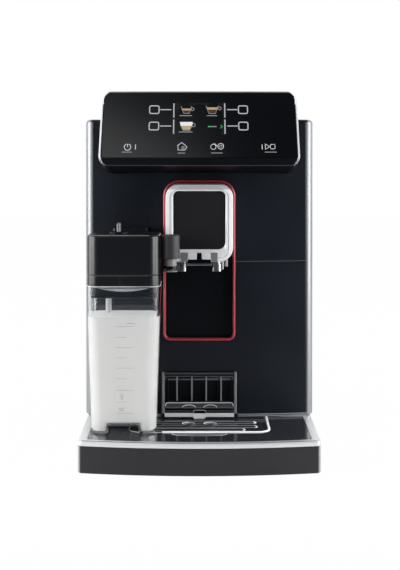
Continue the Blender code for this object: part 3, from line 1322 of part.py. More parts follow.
def make_brew_group():
    """Brew frame open to the service door, with the brewing chamber and its piston."""
    low_z = TABLE_TOP_Z + GAP
    frame = solid("brew_frame", block((BREW_LEFT_X, BREW_FRONT_Y, low_z),
                                      (BREW_RIGHT_X, BREW_REAR_Y, BREW_HIGH_Z), BREW_CORNER), DARK_GREY)
    roof_z = BREW_HIGH_Z - BREW_WALL
    cut(frame, block((BREW_LEFT_X + BREW_WALL, BREW_FRONT_Y + BREW_WALL, low_z + BREW_WALL),
                     (BREW_RIGHT_X + OVERRUN, BREW_REAR_Y - BREW_WALL, roof_z)))
    mouth = chute_outline(CHUTE_LOW_HALF - CHUTE_WALL, CHUTE_CORNER - CHUTE_WALL)
    cut(frame, [at_z(mouth, roof_z - OVERRUN), at_z(mouth, BREW_HIGH_Z + OVERRUN)])
    center = (CHAMBER_X, CHAMBER_Y)
    chamber_low_z = low_z + BREW_WALL + GAP
    solid("brew_chamber", turned(center, [
        (CHAMBER_BORE, chamber_low_z + BREW_WALL), (CHAMBER_BORE, CHAMBER_HIGH_Z),
        (CHAMBER_RADIUS, CHAMBER_HIGH_Z), (CHAMBER_RADIUS, chamber_low_z),
    ]), GREY_PLASTIC)
    head_z = PISTON_LOW_Z + PISTON_HEAD_HEIGHT
    solid("brew_piston", turned(center, [
        (PISTON_RADIUS, PISTON_LOW_Z), (PISTON_RADIUS, head_z), (PISTON_STEM_RADIUS, head_z),
        (PISTON_STEM_RADIUS, roof_z - GAP),
    ]), WHITE_PLASTIC, (CHAMBER_X, CHAMBER_Y, PISTON_LOW_Z))


def make_brew_drive():
    """Toothed drive wheel beside the brew frame and the gear motor that turns it."""
    outline = []
    for step in range(4 * GEAR_TEETH):
        turn = math.tau * (step + 1 / 2) / (4 * GEAR_TEETH)
        radius = GEAR_RADIUS if step % 4 < 2 else GEAR_RADIUS - GEAR_TOOTH
        outline.append((GEAR_Y + radius * math.cos(turn), GEAR_Z + radius * math.sin(turn)))
    right_x = BREW_LEFT_X - GAP
    left_x = right_x - GEAR_THICKNESS
    solid("brew_drive_gear", [at_x(outline, left_x), at_x(outline, right_x)], WHITE_PLASTIC,
          (right_x, GEAR_Y, GEAR_Z))
    low_z = TABLE_TOP_Z + GAP
    box_right_x = left_x - GAP
    gearmotor = solid("brew_gearmotor", block((GEARBOX_LEFT_X, GEARBOX_FRONT_Y, low_z),
                                              (box_right_x, GEARBOX_REAR_Y, GEARBOX_HIGH_Z), GEARBOX_CORNER),
                      DARK_GREY)
    motor_x = (GEARBOX_LEFT_X + box_right_x) / 2
    motor_y = (GEARBOX_FRONT_Y + GEARBOX_REAR_Y) / 2
    join(gearmotor, turned((motor_x, motor_y), [(GEARMOTOR_RADIUS, GEARBOX_HIGH_Z - OVERRUN),
                                                (GEARMOTOR_RADIUS, GEARBOX_HIGH_Z + GEARMOTOR_LENGTH)]))


def make_water_path():
    """Boiler, vibration pump, flow meter and the power board."""
    low_z = TABLE_TOP_Z + GAP
    flange_z = low_z + BOILER_FLANGE_HEIGHT
    dome_z = BOILER_HIGH_Z - BOILER_DOME
    profile = [(BOILER_RADIUS + BOILER_FLANGE, low_z), (BOILER_RADIUS + BOILER_FLANGE, flange_z),
               (BOILER_RADIUS, flange_z), (BOILER_RADIUS, dome_z)]
    for step in range(1, ARC_STEPS):
        angle = math.pi / 2 * step / ARC_STEPS
        profile.append((BOILER_RADIUS * math.cos(angle), dome_z + BOILER_DOME * math.sin(angle)))
    solid("boiler", turned((BOILER_X, BOILER_Y), profile), STEEL)

    center = (PUMP_X, FOOT_HEIGHT + PAN_FLOOR + GAP + PUMP_COIL_RADIUS)
    coil_y = PUMP_FRONT_Y + (PUMP_LENGTH - PUMP_COIL_LENGTH) / 2
    nose = PUMP_RADIUS / 2
    solid("water_pump", turned_along_y(center, [
        (nose, PUMP_FRONT_Y), (nose, PUMP_FRONT_Y + nose), (PUMP_RADIUS, PUMP_FRONT_Y + nose),
        (PUMP_RADIUS, coil_y), (PUMP_COIL_RADIUS, coil_y), (PUMP_COIL_RADIUS, coil_y + PUMP_COIL_LENGTH),
        (PUMP_RADIUS, coil_y + PUMP_COIL_LENGTH), (PUMP_RADIUS, PUMP_FRONT_Y + PUMP_LENGTH - nose),
        (nose, PUMP_FRONT_Y + PUMP_LENGTH - nose), (nose, PUMP_FRONT_Y + PUMP_LENGTH),
    ]), BRIGHT_SILVER)

    meter_top_z = low_z + METER_HEIGHT
    solid("flow_meter", turned((METER_X, METER_Y), [
        (METER_RADIUS, low_z), (METER_RADIUS, meter_top_z), (METER_PORT_RADIUS, meter_top_z),
        (METER_PORT_RADIUS, meter_top_z + METER_PORT_HEIGHT),
    ]), WHITE_PLASTIC)

    board = solid("power_board", block((BOARD_LEFT_X, BOARD_PLATE_Y, low_z),
                                       (BOARD_RIGHT_X, BOARD_PLATE_Y + BOARD_PLATE_THICKNESS,
                                        low_z + BOARD_PLATE_HEIGHT)), BOARD_GREEN)
    width = BOARD_RIGHT_X - BOARD_LEFT_X
    for low_x, high_x, low_share, high_share in BOARD_PART_SHARES:
        join(board, block((BOARD_LEFT_X + width * low_x, BOARD_PLATE_Y - BOARD_PART_DEPTH,
                           low_z + BOARD_PLATE_HEIGHT * low_share),
                          (BOARD_LEFT_X + width * high_x, BOARD_PLATE_Y + BOARD_PLATE_THICKNESS / 2,
                           low_z + BOARD_PLATE_HEIGHT * high_share)))


def jug_outline(height, inset):
    """Jug section, a little wider and deeper towards the mouth."""
    low_z = TRAY_TOP_Z + GAP
    share = (height - low_z) / (JUG_HIGH_Z - low_z)
    half = JUG_LOW_HALF + (JUG_HIGH_HALF - JUG_LOW_HALF) * share - inset
    draft = JUG_DRAFT_Y * (1 - share)
    return rounded(JUG_X - half, JUG_X + half, JUG_FRONT_Y + inset + draft / 2, JUG_REAR_Y - inset - draft,
                   JUG_CORNER - inset)


def make_carafe_jug():
    """Clear jug with a channel along its underside."""
    low_z = TRAY_TOP_Z + GAP
    jug = solid("carafe_jug", [at_z(jug_outline(low_z, JUG_WALL), low_z),
                               at_z(jug_outline(low_z + JUG_WALL, 0), low_z + JUG_WALL),
                               at_z(jug_outline(JUG_HIGH_Z, 0), JUG_HIGH_Z)], CLEAR)
    floor_z = low_z + JUG_FLOOR
    hollow = cut(jug, [at_z(jug_outline(floor_z, 2 * JUG_WALL), floor_z),
                       at_z(jug_outline(floor_z + JUG_WALL, JUG_WALL), floor_z + JUG_WALL),
                       at_z(jug_outline(JUG_HIGH_Z + OVERRUN, JUG_WALL), JUG_HIGH_Z + OVERRUN)])
    notch_z = low_z + NOTCH_HEIGHT
    cut(hollow, block((JUG_X - NOTCH_HALF - JUG_WALL, JUG_FRONT_Y - OVERRUN, low_z),
                      (JUG_X + NOTCH_HALF + JUG_WALL, JUG_REAR_Y + OVERRUN, notch_z + JUG_WALL)))
    cut(jug, block((JUG_X - NOTCH_HALF, JUG_FRONT_Y - OVERRUN, low_z - OVERRUN),
                   (JUG_X + NOTCH_HALF, JUG_REAR_Y + OVERRUN, notch_z)))


def lid_outline(inset):
    return rounded(JUG_X - LID_HALF + inset, JUG_X + LID_HALF - inset, JUG_FRONT_Y + inset,
                   JUG_REAR_Y - inset, JUG_CORNER - inset)


def make_carafe_lid():
    """Hollow black lid with an inner collar, the suction tube, milk spout and lifter."""
    low_z = JUG_HIGH_Z + GAP
    ceiling_z = LID_HIGH_Z - LID_SKIN
    lid = solid("carafe_lid", [
        at_z(lid_outline(LID_SKIN + COLLAR_WALL), ceiling_z),
        at_z(lid_outline(LID_SKIN + COLLAR_WALL), COLLAR_LOW_Z),
        at_z(lid_outline(LID_SKIN), COLLAR_LOW_Z), at_z(lid_outline(LID_SKIN), low_z),
        at_z(lid_outline(0), low_z), at_z(lid_outline(0), LID_SPLIT_Z - LID_GROOVE),
        at_z(lid_outline(LID_GROOVE), LID_SPLIT_Z), at_z(lid_outline(0), LID_SPLIT_Z + LID_GROOVE),
        at_z(lid_outline(0), LID_HIGH_Z - LID_EDGE), at_z(lid_outline(LID_EDGE), LID_HIGH_Z),
    ], BLACK_GLOSS)
    cut(lid, block((STEAM_X - PORT_HALF, JUG_REAR_Y - PORT_DEPTH, COLLAR_LOW_Z - OVERRUN),
                   (STEAM_X + PORT_HALF, JUG_REAR_Y + OVERRUN, STEAM_Z + PORT_HALF)))

    tube_top_z = ceiling_z - GAP
    solid("suction_tube", turned((SUCTION_X, SUCTION_Y), [
        (SUCTION_BORE, SUCTION_LOW_Z), (SUCTION_BORE, tube_top_z), (SUCTION_RADIUS, tube_top_z),
        (SUCTION_RADIUS, SUCTION_LOW_Z),
    ], ROUND_STEPS // 2), WHITE_PLASTIC, ring=True)

    nozzle_top_z = MILK_NOZZLE_LOW_Z + MILK_NOZZLE_HEIGHT
    spout = (MILK_SPOUT_X, MILK_SPOUT_Y)
    solid("milk_spout", turned(spout, [
        (MILK_STEM_RADIUS, nozzle_top_z - MILK_SPOUT_EDGE), (MILK_STEM_RADIUS, MILK_NOZZLE_LOW_Z),
        (MILK_NOZZLE_RADIUS, MILK_NOZZLE_LOW_Z), (MILK_NOZZLE_RADIUS, nozzle_top_z),
        (MILK_NECK_RADIUS, nozzle_top_z), (MILK_NECK_RADIUS, MILK_SPOUT_LOW_Z),
        (MILK_SPOUT_RADIUS, MILK_SPOUT_LOW_Z), (MILK_SPOUT_RADIUS, MILK_SPOUT_HIGH_Z - MILK_SPOUT_EDGE),
        (MILK_SPOUT_RADIUS - MILK_SPOUT_EDGE, MILK_SPOUT_HIGH_Z),
    ]), BLACK_GLOSS)

    base_z = LID_HIGH_Z + GAP
    lifter = solid("lid_knob", turned((LIFTER_X, LIFTER_Y), [(LIFTER_RADIUS, base_z),
                                                            (LIFTER_RADIUS, base_z + LIFTER_BASE)]),
                   BLACK_SATIN, (LIFTER_X, LIFTER_Y, base_z))
    half = LIFTER_THICKNESS / 2
    reach = LIFTER_RADIUS - half
    fin = rounded(LIFTER_Y - reach, LIFTER_Y + reach, base_z + LIFTER_BASE / 2, LIFTER_HIGH_Z, 0, half)
    join(lifter, [at_x(fin, LIFTER_X - half), at_x(fin, LIFTER_X + half)])


def make_milk_dock():
    """Block on the fascia that the carafe plugs into, with its steam nozzle."""
    face_y = JUG_REAR_Y + GAP
    steps = 4
    width = MILK_DOCK_RIGHT_X - MILK_DOCK_LEFT_X
    rear = []
    for step in range(steps + 1):
        x = MILK_DOCK_RIGHT_X - width * step / steps
        rear.append((x, front_y(x) - GAP))
    plan = [(MILK_DOCK_LEFT_X, face_y + MILK_DOCK_CORNER), (MILK_DOCK_LEFT_X + MILK_DOCK_CORNER, face_y),
            (MILK_DOCK_RIGHT_X - MILK_DOCK_CORNER, face_y), (MILK_DOCK_RIGHT_X, face_y + MILK_DOCK_CORNER)]
    dock = solid("milk_dock", [at_z(plan + rear, MILK_DOCK_LOW_Z), at_z(plan + rear, MILK_DOCK_HIGH_Z)],
                 BLACK_SATIN)
    join(dock, turned_along_y((STEAM_X, STEAM_Z), [
        (STEAM_RADIUS, face_y + STEAM_LENGTH), (STEAM_RADIUS, face_y - STEAM_LENGTH + GAP),
        (STEAM_RADIUS - GAP, face_y - STEAM_LENGTH),
    ], ROUND_STEPS // 2))


def clear_scene():
    for item in list(bpy.data.objects):
        bpy.data.objects.remove(item, do_unlink=True)


def main():
    clear_scene()
    make_feet()
    make_base_pan()
    make_side_panels()
    make_service_door()
    make_rear_panel()
    make_mains_inlet()
    make_power_rocker()
    make_fascias()
    make_red_ring()
    make_niche_plate()
    make_control_head()
    make_top_deck()
    make_grind_knob()
    make_spout()
    make_drip_tray()
    make_tray_rim()
    make_tray_cover()
    make_tray_float()
    make_grounds_container()
    make_container_front()
    make_espresso_shelf()
    make_inner_frame()
    make_water_tank()
    make_bean_hopper()
    make_grinder()
    make_preground_chute()
    make_brew_group()
    make_brew_drive()
    make_water_path()
    make_carafe_jug()
    make_carafe_lid()
    make_milk_dock()


main()
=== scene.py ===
"""Looks of the bean-to-cup coffee machine: finishes, fine pieces, light and camera."""
import json
import math

import bmesh
import bpy
from mathutils import Matrix, Vector

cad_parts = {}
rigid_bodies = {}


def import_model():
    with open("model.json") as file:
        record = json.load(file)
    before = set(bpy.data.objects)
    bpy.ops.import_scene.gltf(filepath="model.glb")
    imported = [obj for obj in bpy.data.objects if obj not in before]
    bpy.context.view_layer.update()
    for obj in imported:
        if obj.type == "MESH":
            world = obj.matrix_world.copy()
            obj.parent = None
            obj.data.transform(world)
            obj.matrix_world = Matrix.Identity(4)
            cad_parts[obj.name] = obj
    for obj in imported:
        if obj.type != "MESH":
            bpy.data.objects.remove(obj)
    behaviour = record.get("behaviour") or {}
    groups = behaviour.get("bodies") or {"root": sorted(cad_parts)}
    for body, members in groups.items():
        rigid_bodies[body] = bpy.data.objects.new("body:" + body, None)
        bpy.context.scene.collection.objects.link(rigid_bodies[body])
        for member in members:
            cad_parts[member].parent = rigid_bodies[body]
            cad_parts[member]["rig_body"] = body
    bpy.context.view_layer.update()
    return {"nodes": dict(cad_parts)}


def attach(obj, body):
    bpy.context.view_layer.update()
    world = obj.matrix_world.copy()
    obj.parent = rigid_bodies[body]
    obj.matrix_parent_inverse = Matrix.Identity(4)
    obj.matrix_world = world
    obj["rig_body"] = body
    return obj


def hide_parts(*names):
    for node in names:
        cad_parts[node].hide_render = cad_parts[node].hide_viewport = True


MM = 0.001
SIDES = (("left", -1), ("right", 1))

# The photograph's frame and the camera that fits it
FRAME_WIDTH = 400
FRAME_HEIGHT = 570
FOCAL_PIXELS = 1229
SENSOR = 36
CAMERA_PLACE = (0, -1.307, 0.301)
CAMERA_TILT = math.radians(0.8)
HORIZON_ROW = 144
MIDDLE_COLUMN = 199.3

# The studio: where reflections find white, and how the floor fades towards the camera
MIDDLE = (0, 0, 0.17)
WHITE = (1, 1, 1, 1)
ROOM_TONE = (0.055, 0.062, 0.078, 1)
WHITE_BESIDE = (0.7, 0.98)
WHITE_BEHIND = (-0.1, 0.3)
FLOOR_SIZE = 4
FLOOR_NEAR = (0.1, 0.115, 0.14, 1)
FLOOR_FAR = (0.8, 0.8, 0.8, 1)
FLOOR_FADE = (-0.6, -0.28)
FLOOR_WHITE = 0.985

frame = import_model()
nodes = frame["nodes"]
scene = bpy.context.scene


# Camera, studio and light

def place(name, data):
    """New object of the scene."""
    made = bpy.data.objects.new(name, data)
    scene.collection.objects.link(made)
    return made


def make_camera():
    camera = bpy.data.cameras.new("photo_camera")
    camera.sensor_fit = "VERTICAL"
    camera.sensor_height = SENSOR
    camera.lens = SENSOR * FOCAL_PIXELS / FRAME_HEIGHT
    aim_row = HORIZON_ROW + FOCAL_PIXELS * math.tan(CAMERA_TILT)
    camera.shift_y = (aim_row - FRAME_HEIGHT / 2) / FRAME_HEIGHT
    camera.shift_x = (FRAME_WIDTH / 2 - MIDDLE_COLUMN) / FRAME_HEIGHT
    camera.clip_start = 0.05
    camera.clip_end = 20
    holder = place("photo_camera", camera)
    holder.location = CAMERA_PLACE
    holder.rotation_euler = (math.pi / 2 - CAMERA_TILT, 0, 0)
    scene.camera = holder


def new_node(tree, kind, values=None, **settings):
    """Add a shader node; the settings are its properties, the values fill its inputs."""
    made = tree.nodes.new("ShaderNode" + kind)
    for name, value in settings.items():
        setattr(made, name, value)
    for name, value in (values or {}).items():
        made.inputs[name].default_value = value
    return made


def smooth_rise(tree, low, high, top=1):
    """Node that rises smoothly from 0 to its top between two values."""
    return new_node(tree, "MapRange", {"From Min": low, "From Max": high, "To Max": top},
                    interpolation_type="SMOOTHSTEP")


def link_all(tree, *links):
    """Links, each given as a node, its output, the next node and the input there."""
    for source, output, target, entry in links:
        tree.links.new(source.outputs[output], target.inputs[entry])


def make_world():
    """White to the camera, and a room of its own to every other ray.

    The glass and the polished parts of the photo mirror white walls beside and behind the
    machine and a dark room in front of it, where the camera stands. Were the room white all
    round, the black faces that look forwards would turn grey.
    """
    world = bpy.data.worlds.new("studio")
    scene.world = world
    world.use_nodes = True
    tree = world.node_tree
    tree.nodes.clear()
    output = new_node(tree, "OutputWorld")
    mix = new_node(tree, "MixShader")
    white = new_node(tree, "Background", {"Color": WHITE})
    room = new_node(tree, "Background")
    coordinate = new_node(tree, "TexCoord")
    parts = new_node(tree, "SeparateXYZ")
    side = new_node(tree, "Math", operation="ABSOLUTE")
    beside = smooth_rise(tree, *WHITE_BESIDE)
    behind = smooth_rise(tree, *WHITE_BEHIND)
    brighter = new_node(tree, "Math", operation="MAXIMUM")
    tone = new_node(tree, "ValToRGB")
    tone.color_ramp.elements[0].color = ROOM_TONE
    tone.color_ramp.elements[1].color = WHITE
    path = new_node(tree, "LightPath")
    link_all(
        tree, (coordinate, "Generated", parts, 0),
        (parts, "X", side, 0),
        (side, "Value", beside, "Value"),
        (parts, "Y", behind, "Value"),
        (beside, "Result", brighter, 0),
        (behind, "Result", brighter, 1),
        (brighter, "Value", tone, "Fac"),
        (tone, "Color", room, "Color"),
        (path, "Is Camera Ray", mix, "Fac"),
        (room, "Background", mix, 1),
        (white, "Background", mix, 2),
        (mix, "Shader", output, "Surface"))


def make_lamp(name, position, aim, size, power):
    lamp = bpy.data.lights.new(name, "AREA")
    lamp.shape = "RECTANGLE"
    lamp.size, lamp.size_y = size
    lamp.energy = power
    holder = place(name, lamp)
    holder.location = position
    direction = Vector(aim) - Vector(position)
    holder.rotation_euler = direction.to_track_quat("-Z", "Y").to_euler()


def make_lamps():
    for kind, x, y, z, size, power in (
            ("_strip", 1.2, -0.08, 0.3, (0.35, 1.2), 9), ("_box", 1.7, -1.1, 0.5, (0.9, 1.3), 34)):
        for name, side in SIDES:
            make_lamp(name + kind, (side * x, y, z), MIDDLE, size, power)
    make_lamp("overhead", (-0.62, -1.05, 1.6), (-0.3, -0.3, 0.3), (1.2, 1), 5)


def make_floor():
    """Floor that is white to the camera, keeps a faint shadow and mirrors dark in front."""
    shape = bmesh.new()
    bmesh.ops.create_grid(shape, x_segments=1, y_segments=1, size=FLOOR_SIZE)
    mesh = bpy.data.meshes.new("floor")
    shape.to_mesh(mesh)
    shape.free()
    material = bpy.data.materials.new("floor_white")
    material.use_nodes = True
    tree = material.node_tree
    tree.nodes.clear()
    output = new_node(tree, "OutputMaterial")
    lit = new_node(tree, "BsdfDiffuse")
    coordinate = new_node(tree, "TexCoord")
    parts = new_node(tree, "SeparateXYZ")
    nearness = smooth_rise(tree, *FLOOR_FADE)
    paint = new_node(tree, "Mix", {"A": FLOOR_NEAR, "B": FLOOR_FAR}, data_type="RGBA")
    glow = new_node(tree, "Emission", {"Color": WHITE})
    share = new_node(tree, "Math", {1: FLOOR_WHITE}, operation="MULTIPLY")
    path = new_node(tree, "LightPath")
    mix = new_node(tree, "MixShader")
    link_all(
        tree, (coordinate, "Object", parts, 0),
        (parts, "Y", nearness, "Value"),
        (nearness, "Result", paint, "Factor"),
        (paint, "Result", lit, "Color"),
        (path, "Is Camera Ray", share, 0),
        (share, "Value", mix, "Fac"),
        (lit, "BSDF", mix, 1),
        (glow, "Emission", mix, 2),
        (mix, "Shader", output, "Surface"))
    mesh.materials.append(material)
    floor = place("floor", mesh)


# Finishes

FINISHES = {}
BROAD_SCALE = 14
GRAIN_DEPTH = 0.2 * MM
LEAST_ROUGHNESS = 0.02
COAT_ROUGHNESS = 0.08
TURNED_AWAY = (0.04, 0.3)
EDGE_TONE = (0.62, 0.63, 0.65, 1)


def finish(name, color, roughness, bump=0.02, mottle=0.12, metallic=0, specular=0.5, coat=0,
           grain=900, spread=0.08, clear=0, ior=1.49, glow=0, edge=0):
    """Moulded, painted or metal finish with fine grain, kept in FINISHES under its name.

    The bump is the height of the grain. Broad patches vary the tone by the mottle and the
    roughness by the spread. An edge above zero makes it mirror more where it turns away.
    """
    material = bpy.data.materials.new(name)
    material.use_nodes = True
    tree = material.node_tree
    shader = tree.nodes["Principled BSDF"]
    coordinate = new_node(tree, "TexCoord")
    broad = new_node(tree, "TexNoise", {"Scale": BROAD_SCALE, "Detail": 3})
    tint = new_node(tree, "ValToRGB")
    for index, position, factor in ((0, 0.3, 1 - mottle), (1, 0.7, 1 + mottle)):
        stop = tint.color_ramp.elements[index]
        stop.position = position
        stop.color = (*[min(value * factor, 1) for value in color], 1)
    least = max(roughness - spread, LEAST_ROUGHNESS)
    sheen = new_node(tree, "MapRange", {"To Min": least, "To Max": roughness + spread})
    fine = new_node(tree, "TexNoise", {"Scale": grain, "Detail": 2})
    relief = new_node(tree, "Bump", {"Strength": bump, "Distance": GRAIN_DEPTH})
    link_all(
        tree, (coordinate, "Object", broad, "Vector"),
        (coordinate, "Object", fine, "Vector"),
        (broad, "Fac", tint, "Fac"),
        (broad, "Fac", sheen, "Value"),
        (tint, "Color", shader, "Base Color"),
        (sheen, "Result", shader, "Roughness"),
        (fine, "Fac", relief, "Height"),
        (relief, "Normal", shader, "Normal"))
    if edge:
        turn = new_node(tree, "LayerWeight", {"Blend": 0.5})
        share = smooth_rise(tree, *TURNED_AWAY, edge)
        shade = new_node(tree, "Mix", {"B": EDGE_TONE}, data_type="RGBA")
        link_all(
            tree, (turn, "Facing", share, "Value"),
            (share, "Result", shader, "Metallic"),
            (share, "Result", shade, "Factor"),
            (tint, "Color", shade, "A"),
            (shade, "Result", shader, "Base Color"))
    values = {"Metallic": metallic, "Specular IOR Level": specular, "Coat Weight": coat,
              "Coat Roughness": COAT_ROUGHNESS, "Transmission Weight": clear, "IOR": ior}
    if glow:
        values.update({"Emission Color": (*color, 1), "Emission Strength": glow})
    for name_of_input, value in values.items():
        shader.inputs[name_of_input].default_value = value
    FINISHES[name] = material
    return material


def make_finishes():
    finish("satin_black", (0.0074, 0.0094, 0.014), 0.38, 0.05, specular=0.2)
    finish("gloss_black", (0.0012, 0.0013, 0.002), 0.14, 0.005, specular=0.3, spread=0.03)
    finish("deck_black", (0.0085, 0.009, 0.0105), 0.6, 0.3, specular=0.16, grain=1400)
    finish("recess_black", (0.0024, 0.0032, 0.0046), 0.35, 0.03, specular=0.16)
    finish("lid_black", (0.002, 0.002, 0.0026), 0.3, 0.01, specular=0.7, spread=0.03)
    finish("spout_black", (0.028, 0.028, 0.03), 0.46, 0.03, specular=0.35, spread=0.04)
    finish("face_texture", (0.0072, 0.007, 0.009), 0.6, 0.5, specular=0.18, grain=1500)
    finish("dark_grey", (0.035, 0.035, 0.04), 0.55, 0.1)
    finish("grey_plastic", (0.26, 0.27, 0.29), 0.5, 0.08)
    # grey; on the spout's cheeks it is painted shade
    finish("grey_and_cheek_shade", (0.19, 0.19, 0.185), 0.45, 0.05, metallic=0.2)
    finish("edge_grey", (0.2, 0.205, 0.215), 0.4, 0.03, metallic=0.2)
    finish("band_grey", (0.055, 0.06, 0.066), 0.45, 0.03)
    finish("band_light", (0.095, 0.101, 0.11), 0.5, 0.03, specular=0.3)
    finish("mark_grey", (0.5, 0.49, 0.48), 0.55, 0)
    finish("white_plastic", (0.72, 0.72, 0.7), 0.42, 0.02, 0.03)
    finish("clear_plastic", (0.93, 0.95, 0.96), 0.03, 0, 0.01, spread=0.01, specular=0.3,
           clear=1, ior=1.46)
    finish("rubber", (0.022, 0.022, 0.023), 0.8, 0.2)
    finish("circuit_board", (0.015, 0.11, 0.045), 0.45, coat=0.4)
    finish("red_satin", (0.36, 0.035, 0.055), 0.34, 0.02, 0.08, metallic=0.25, coat=0.3)
    finish("silver_paint", (0.73, 0.735, 0.74), 0.3, 0.02, 0.02, metallic=0.5, spread=0.04)
    finish("edge_silver", (0.4, 0.41, 0.42), 0.32, 0.02, 0.05, metallic=0.5)
    finish("bright_edge", (0.85, 0.86, 0.87), 0.22, 0, 0.02, metallic=0.7, spread=0.04)
    finish("strip_silver", (0.8, 0.81, 0.82), 0.36, 0.02, 0.02, metallic=0.1)
    # painted highlight: a bright bead that glows, for the light along the dish's right edge
    finish("painted_highlight_glow", (0.95, 0.955, 0.96), 0.45, 0, 0.01, specular=0.6, glow=0.1)
    # painted highlight: near-white beads and plates put where edges catch light or mirror it
    finish("painted_highlight_white", (0.88, 0.885, 0.89), 0.3, 0, 0.02, metallic=0.3)
    finish("chrome", (0.56, 0.565, 0.575), 0.14, 0, 0.02, metallic=1, spread=0.03)
    finish("nozzle_chrome", (0.07, 0.073, 0.08), 0.16, 0, 0.02, spread=0.02, edge=0.95)
    finish("mirror_steel", (0.088, 0.096, 0.112), 0.1, 0, 0.02, metallic=0.7, spread=0.01)
    finish("drawn_steel", (0.52, 0.53, 0.55), 0.3, 0.02, 0.06, metallic=1)
    finish("panel_glass", (0.001, 0.0013, 0.002), 0.18, 0, spread=0.02)
    finish("screen_black", (0.003, 0.003, 0.004), 0.25, 0, spread=0.02)
    for name, color, mottle, glow in (
            ("panel_mark", (0.24, 0.24, 0.25), 0.04, 0.85),
            ("panel_light", (0.42, 0.42, 0.42), 0.04, 0.8),
            ("panel_soft", (0.15, 0.15, 0.155), 0.1, 0.8),
            ("drawn_coffee", (0.03, 0.012, 0.005), 0.12, 0.6),
            ("drawn_crema", (0.25, 0.168, 0.095), 0.25, 0.75),
            ("drawn_green", (0.015, 0.27, 0.05), 0.1, 0.85),
            # painted light: the milk's top glows, standing in for the light its surface scatters
            ("milk_top_glow", (0.8, 0.795, 0.785), 0.01, 0.55)):
        finish(name, color, 0.45, 0, mottle, glow=glow)
    # painted light: the milk glows a little, standing in for light that passes through it
    finish("milk", (0.785, 0.77, 0.75), 0.45, 0, 0.01, spread=0.03, glow=0.16)


def paint_zone(material, bands, color, metallic=0):
    """Paint where every band is reached: an axis of the object, its low and its high end."""
    tree = material.node_tree
    shader = tree.nodes["Principled BSDF"]
    coordinate = new_node(tree, "TexCoord")
    parts = new_node(tree, "SeparateXYZ")
    link_all(tree, (coordinate, "Object", parts, 0))
    reached = None
    for axis, low, high in bands:
        share = smooth_rise(tree, low, high)
        if axis == "X":
            side = new_node(tree, "Math", operation="ABSOLUTE")
            link_all(tree, (parts, "X", side, 0), (side, "Value", share, "Value"))
        else:
            link_all(tree, (parts, axis, share, "Value"))
        if reached is None:
            reached = share, "Result"
        else:
            both = new_node(tree, "Math", operation="MULTIPLY")
            link_all(tree, (*reached, both, 0), (share, "Result", both, 1))
            reached = both, "Value"
    paint = new_node(tree, "Mix", {"B": (*color, 1)}, data_type="RGBA")
    tree.links.new(shader.inputs["Base Color"].links[0].from_socket, paint.inputs["A"])
    link_all(tree, (*reached, paint, "Factor"), (paint, "Result", shader, "Base Color"))
    if metallic:
        gleam = new_node(tree, "Math", {1: metallic}, operation="MULTIPLY")
        link_all(tree, (*reached, gleam, 0), (gleam, "Value", shader, "Metallic"))


def make_zoned_finishes():
    """Silver sides of the head and a painted highlight along its top edge, painted shade in a
    duller band along the top of the spout's bezel, and painted reflections on the front corners
    of shell and tray."""
    trim = finish("trim_silver", (0.006, 0.006, 0.008), 0.26, 0.02, 0.02, specular=0.25,
                  spread=0.03)
    # painted highlight: the top edge of the trim is painted grey where light catches it
    paint_zone(trim, (("Z", 0.344, 0.3505),), (0.2, 0.2, 0.205))
    paint_zone(trim, (("X", 0.0872, 0.0902),), (0.94, 0.945, 0.95), 0.15)
    panel = finish("panel_black", (0.006, 0.007, 0.0098), 0.3, 0.04, specular=0.25, spread=0.04)
    # painted reflection: the front corners of the side panels are painted silver, with some metal,
    # for the bright sides they mirror
    paint_zone(panel, (("X", 0.105, 0.108), ("Y", -0.0915, -0.0935)), (0.29, 0.3, 0.315), 0.5)
    bezel = finish("bezel_silver", (0.88, 0.883, 0.885), 0.32, 0.02, 0.02, metallic=0.25,
                   spread=0.03)
    # painted shade: the top band of the bezel is painted a darker silver for the dimmer reflection
    # it shows
    paint_zone(bezel, (("Z", 0.2572, 0.259),), (0.52, 0.522, 0.53))
    tray = finish("tray_black", (0.02, 0.02, 0.023), 0.4, 0.06, specular=0.3)
    # painted reflection: the front corners of the tray are painted silver, with some metal, for the
    # bright sides they mirror
    paint_zone(tray, (("X", 0.1065, 0.1095), ("Y", -0.199, -0.201)), (0.5, 0.505, 0.51), 0.4)


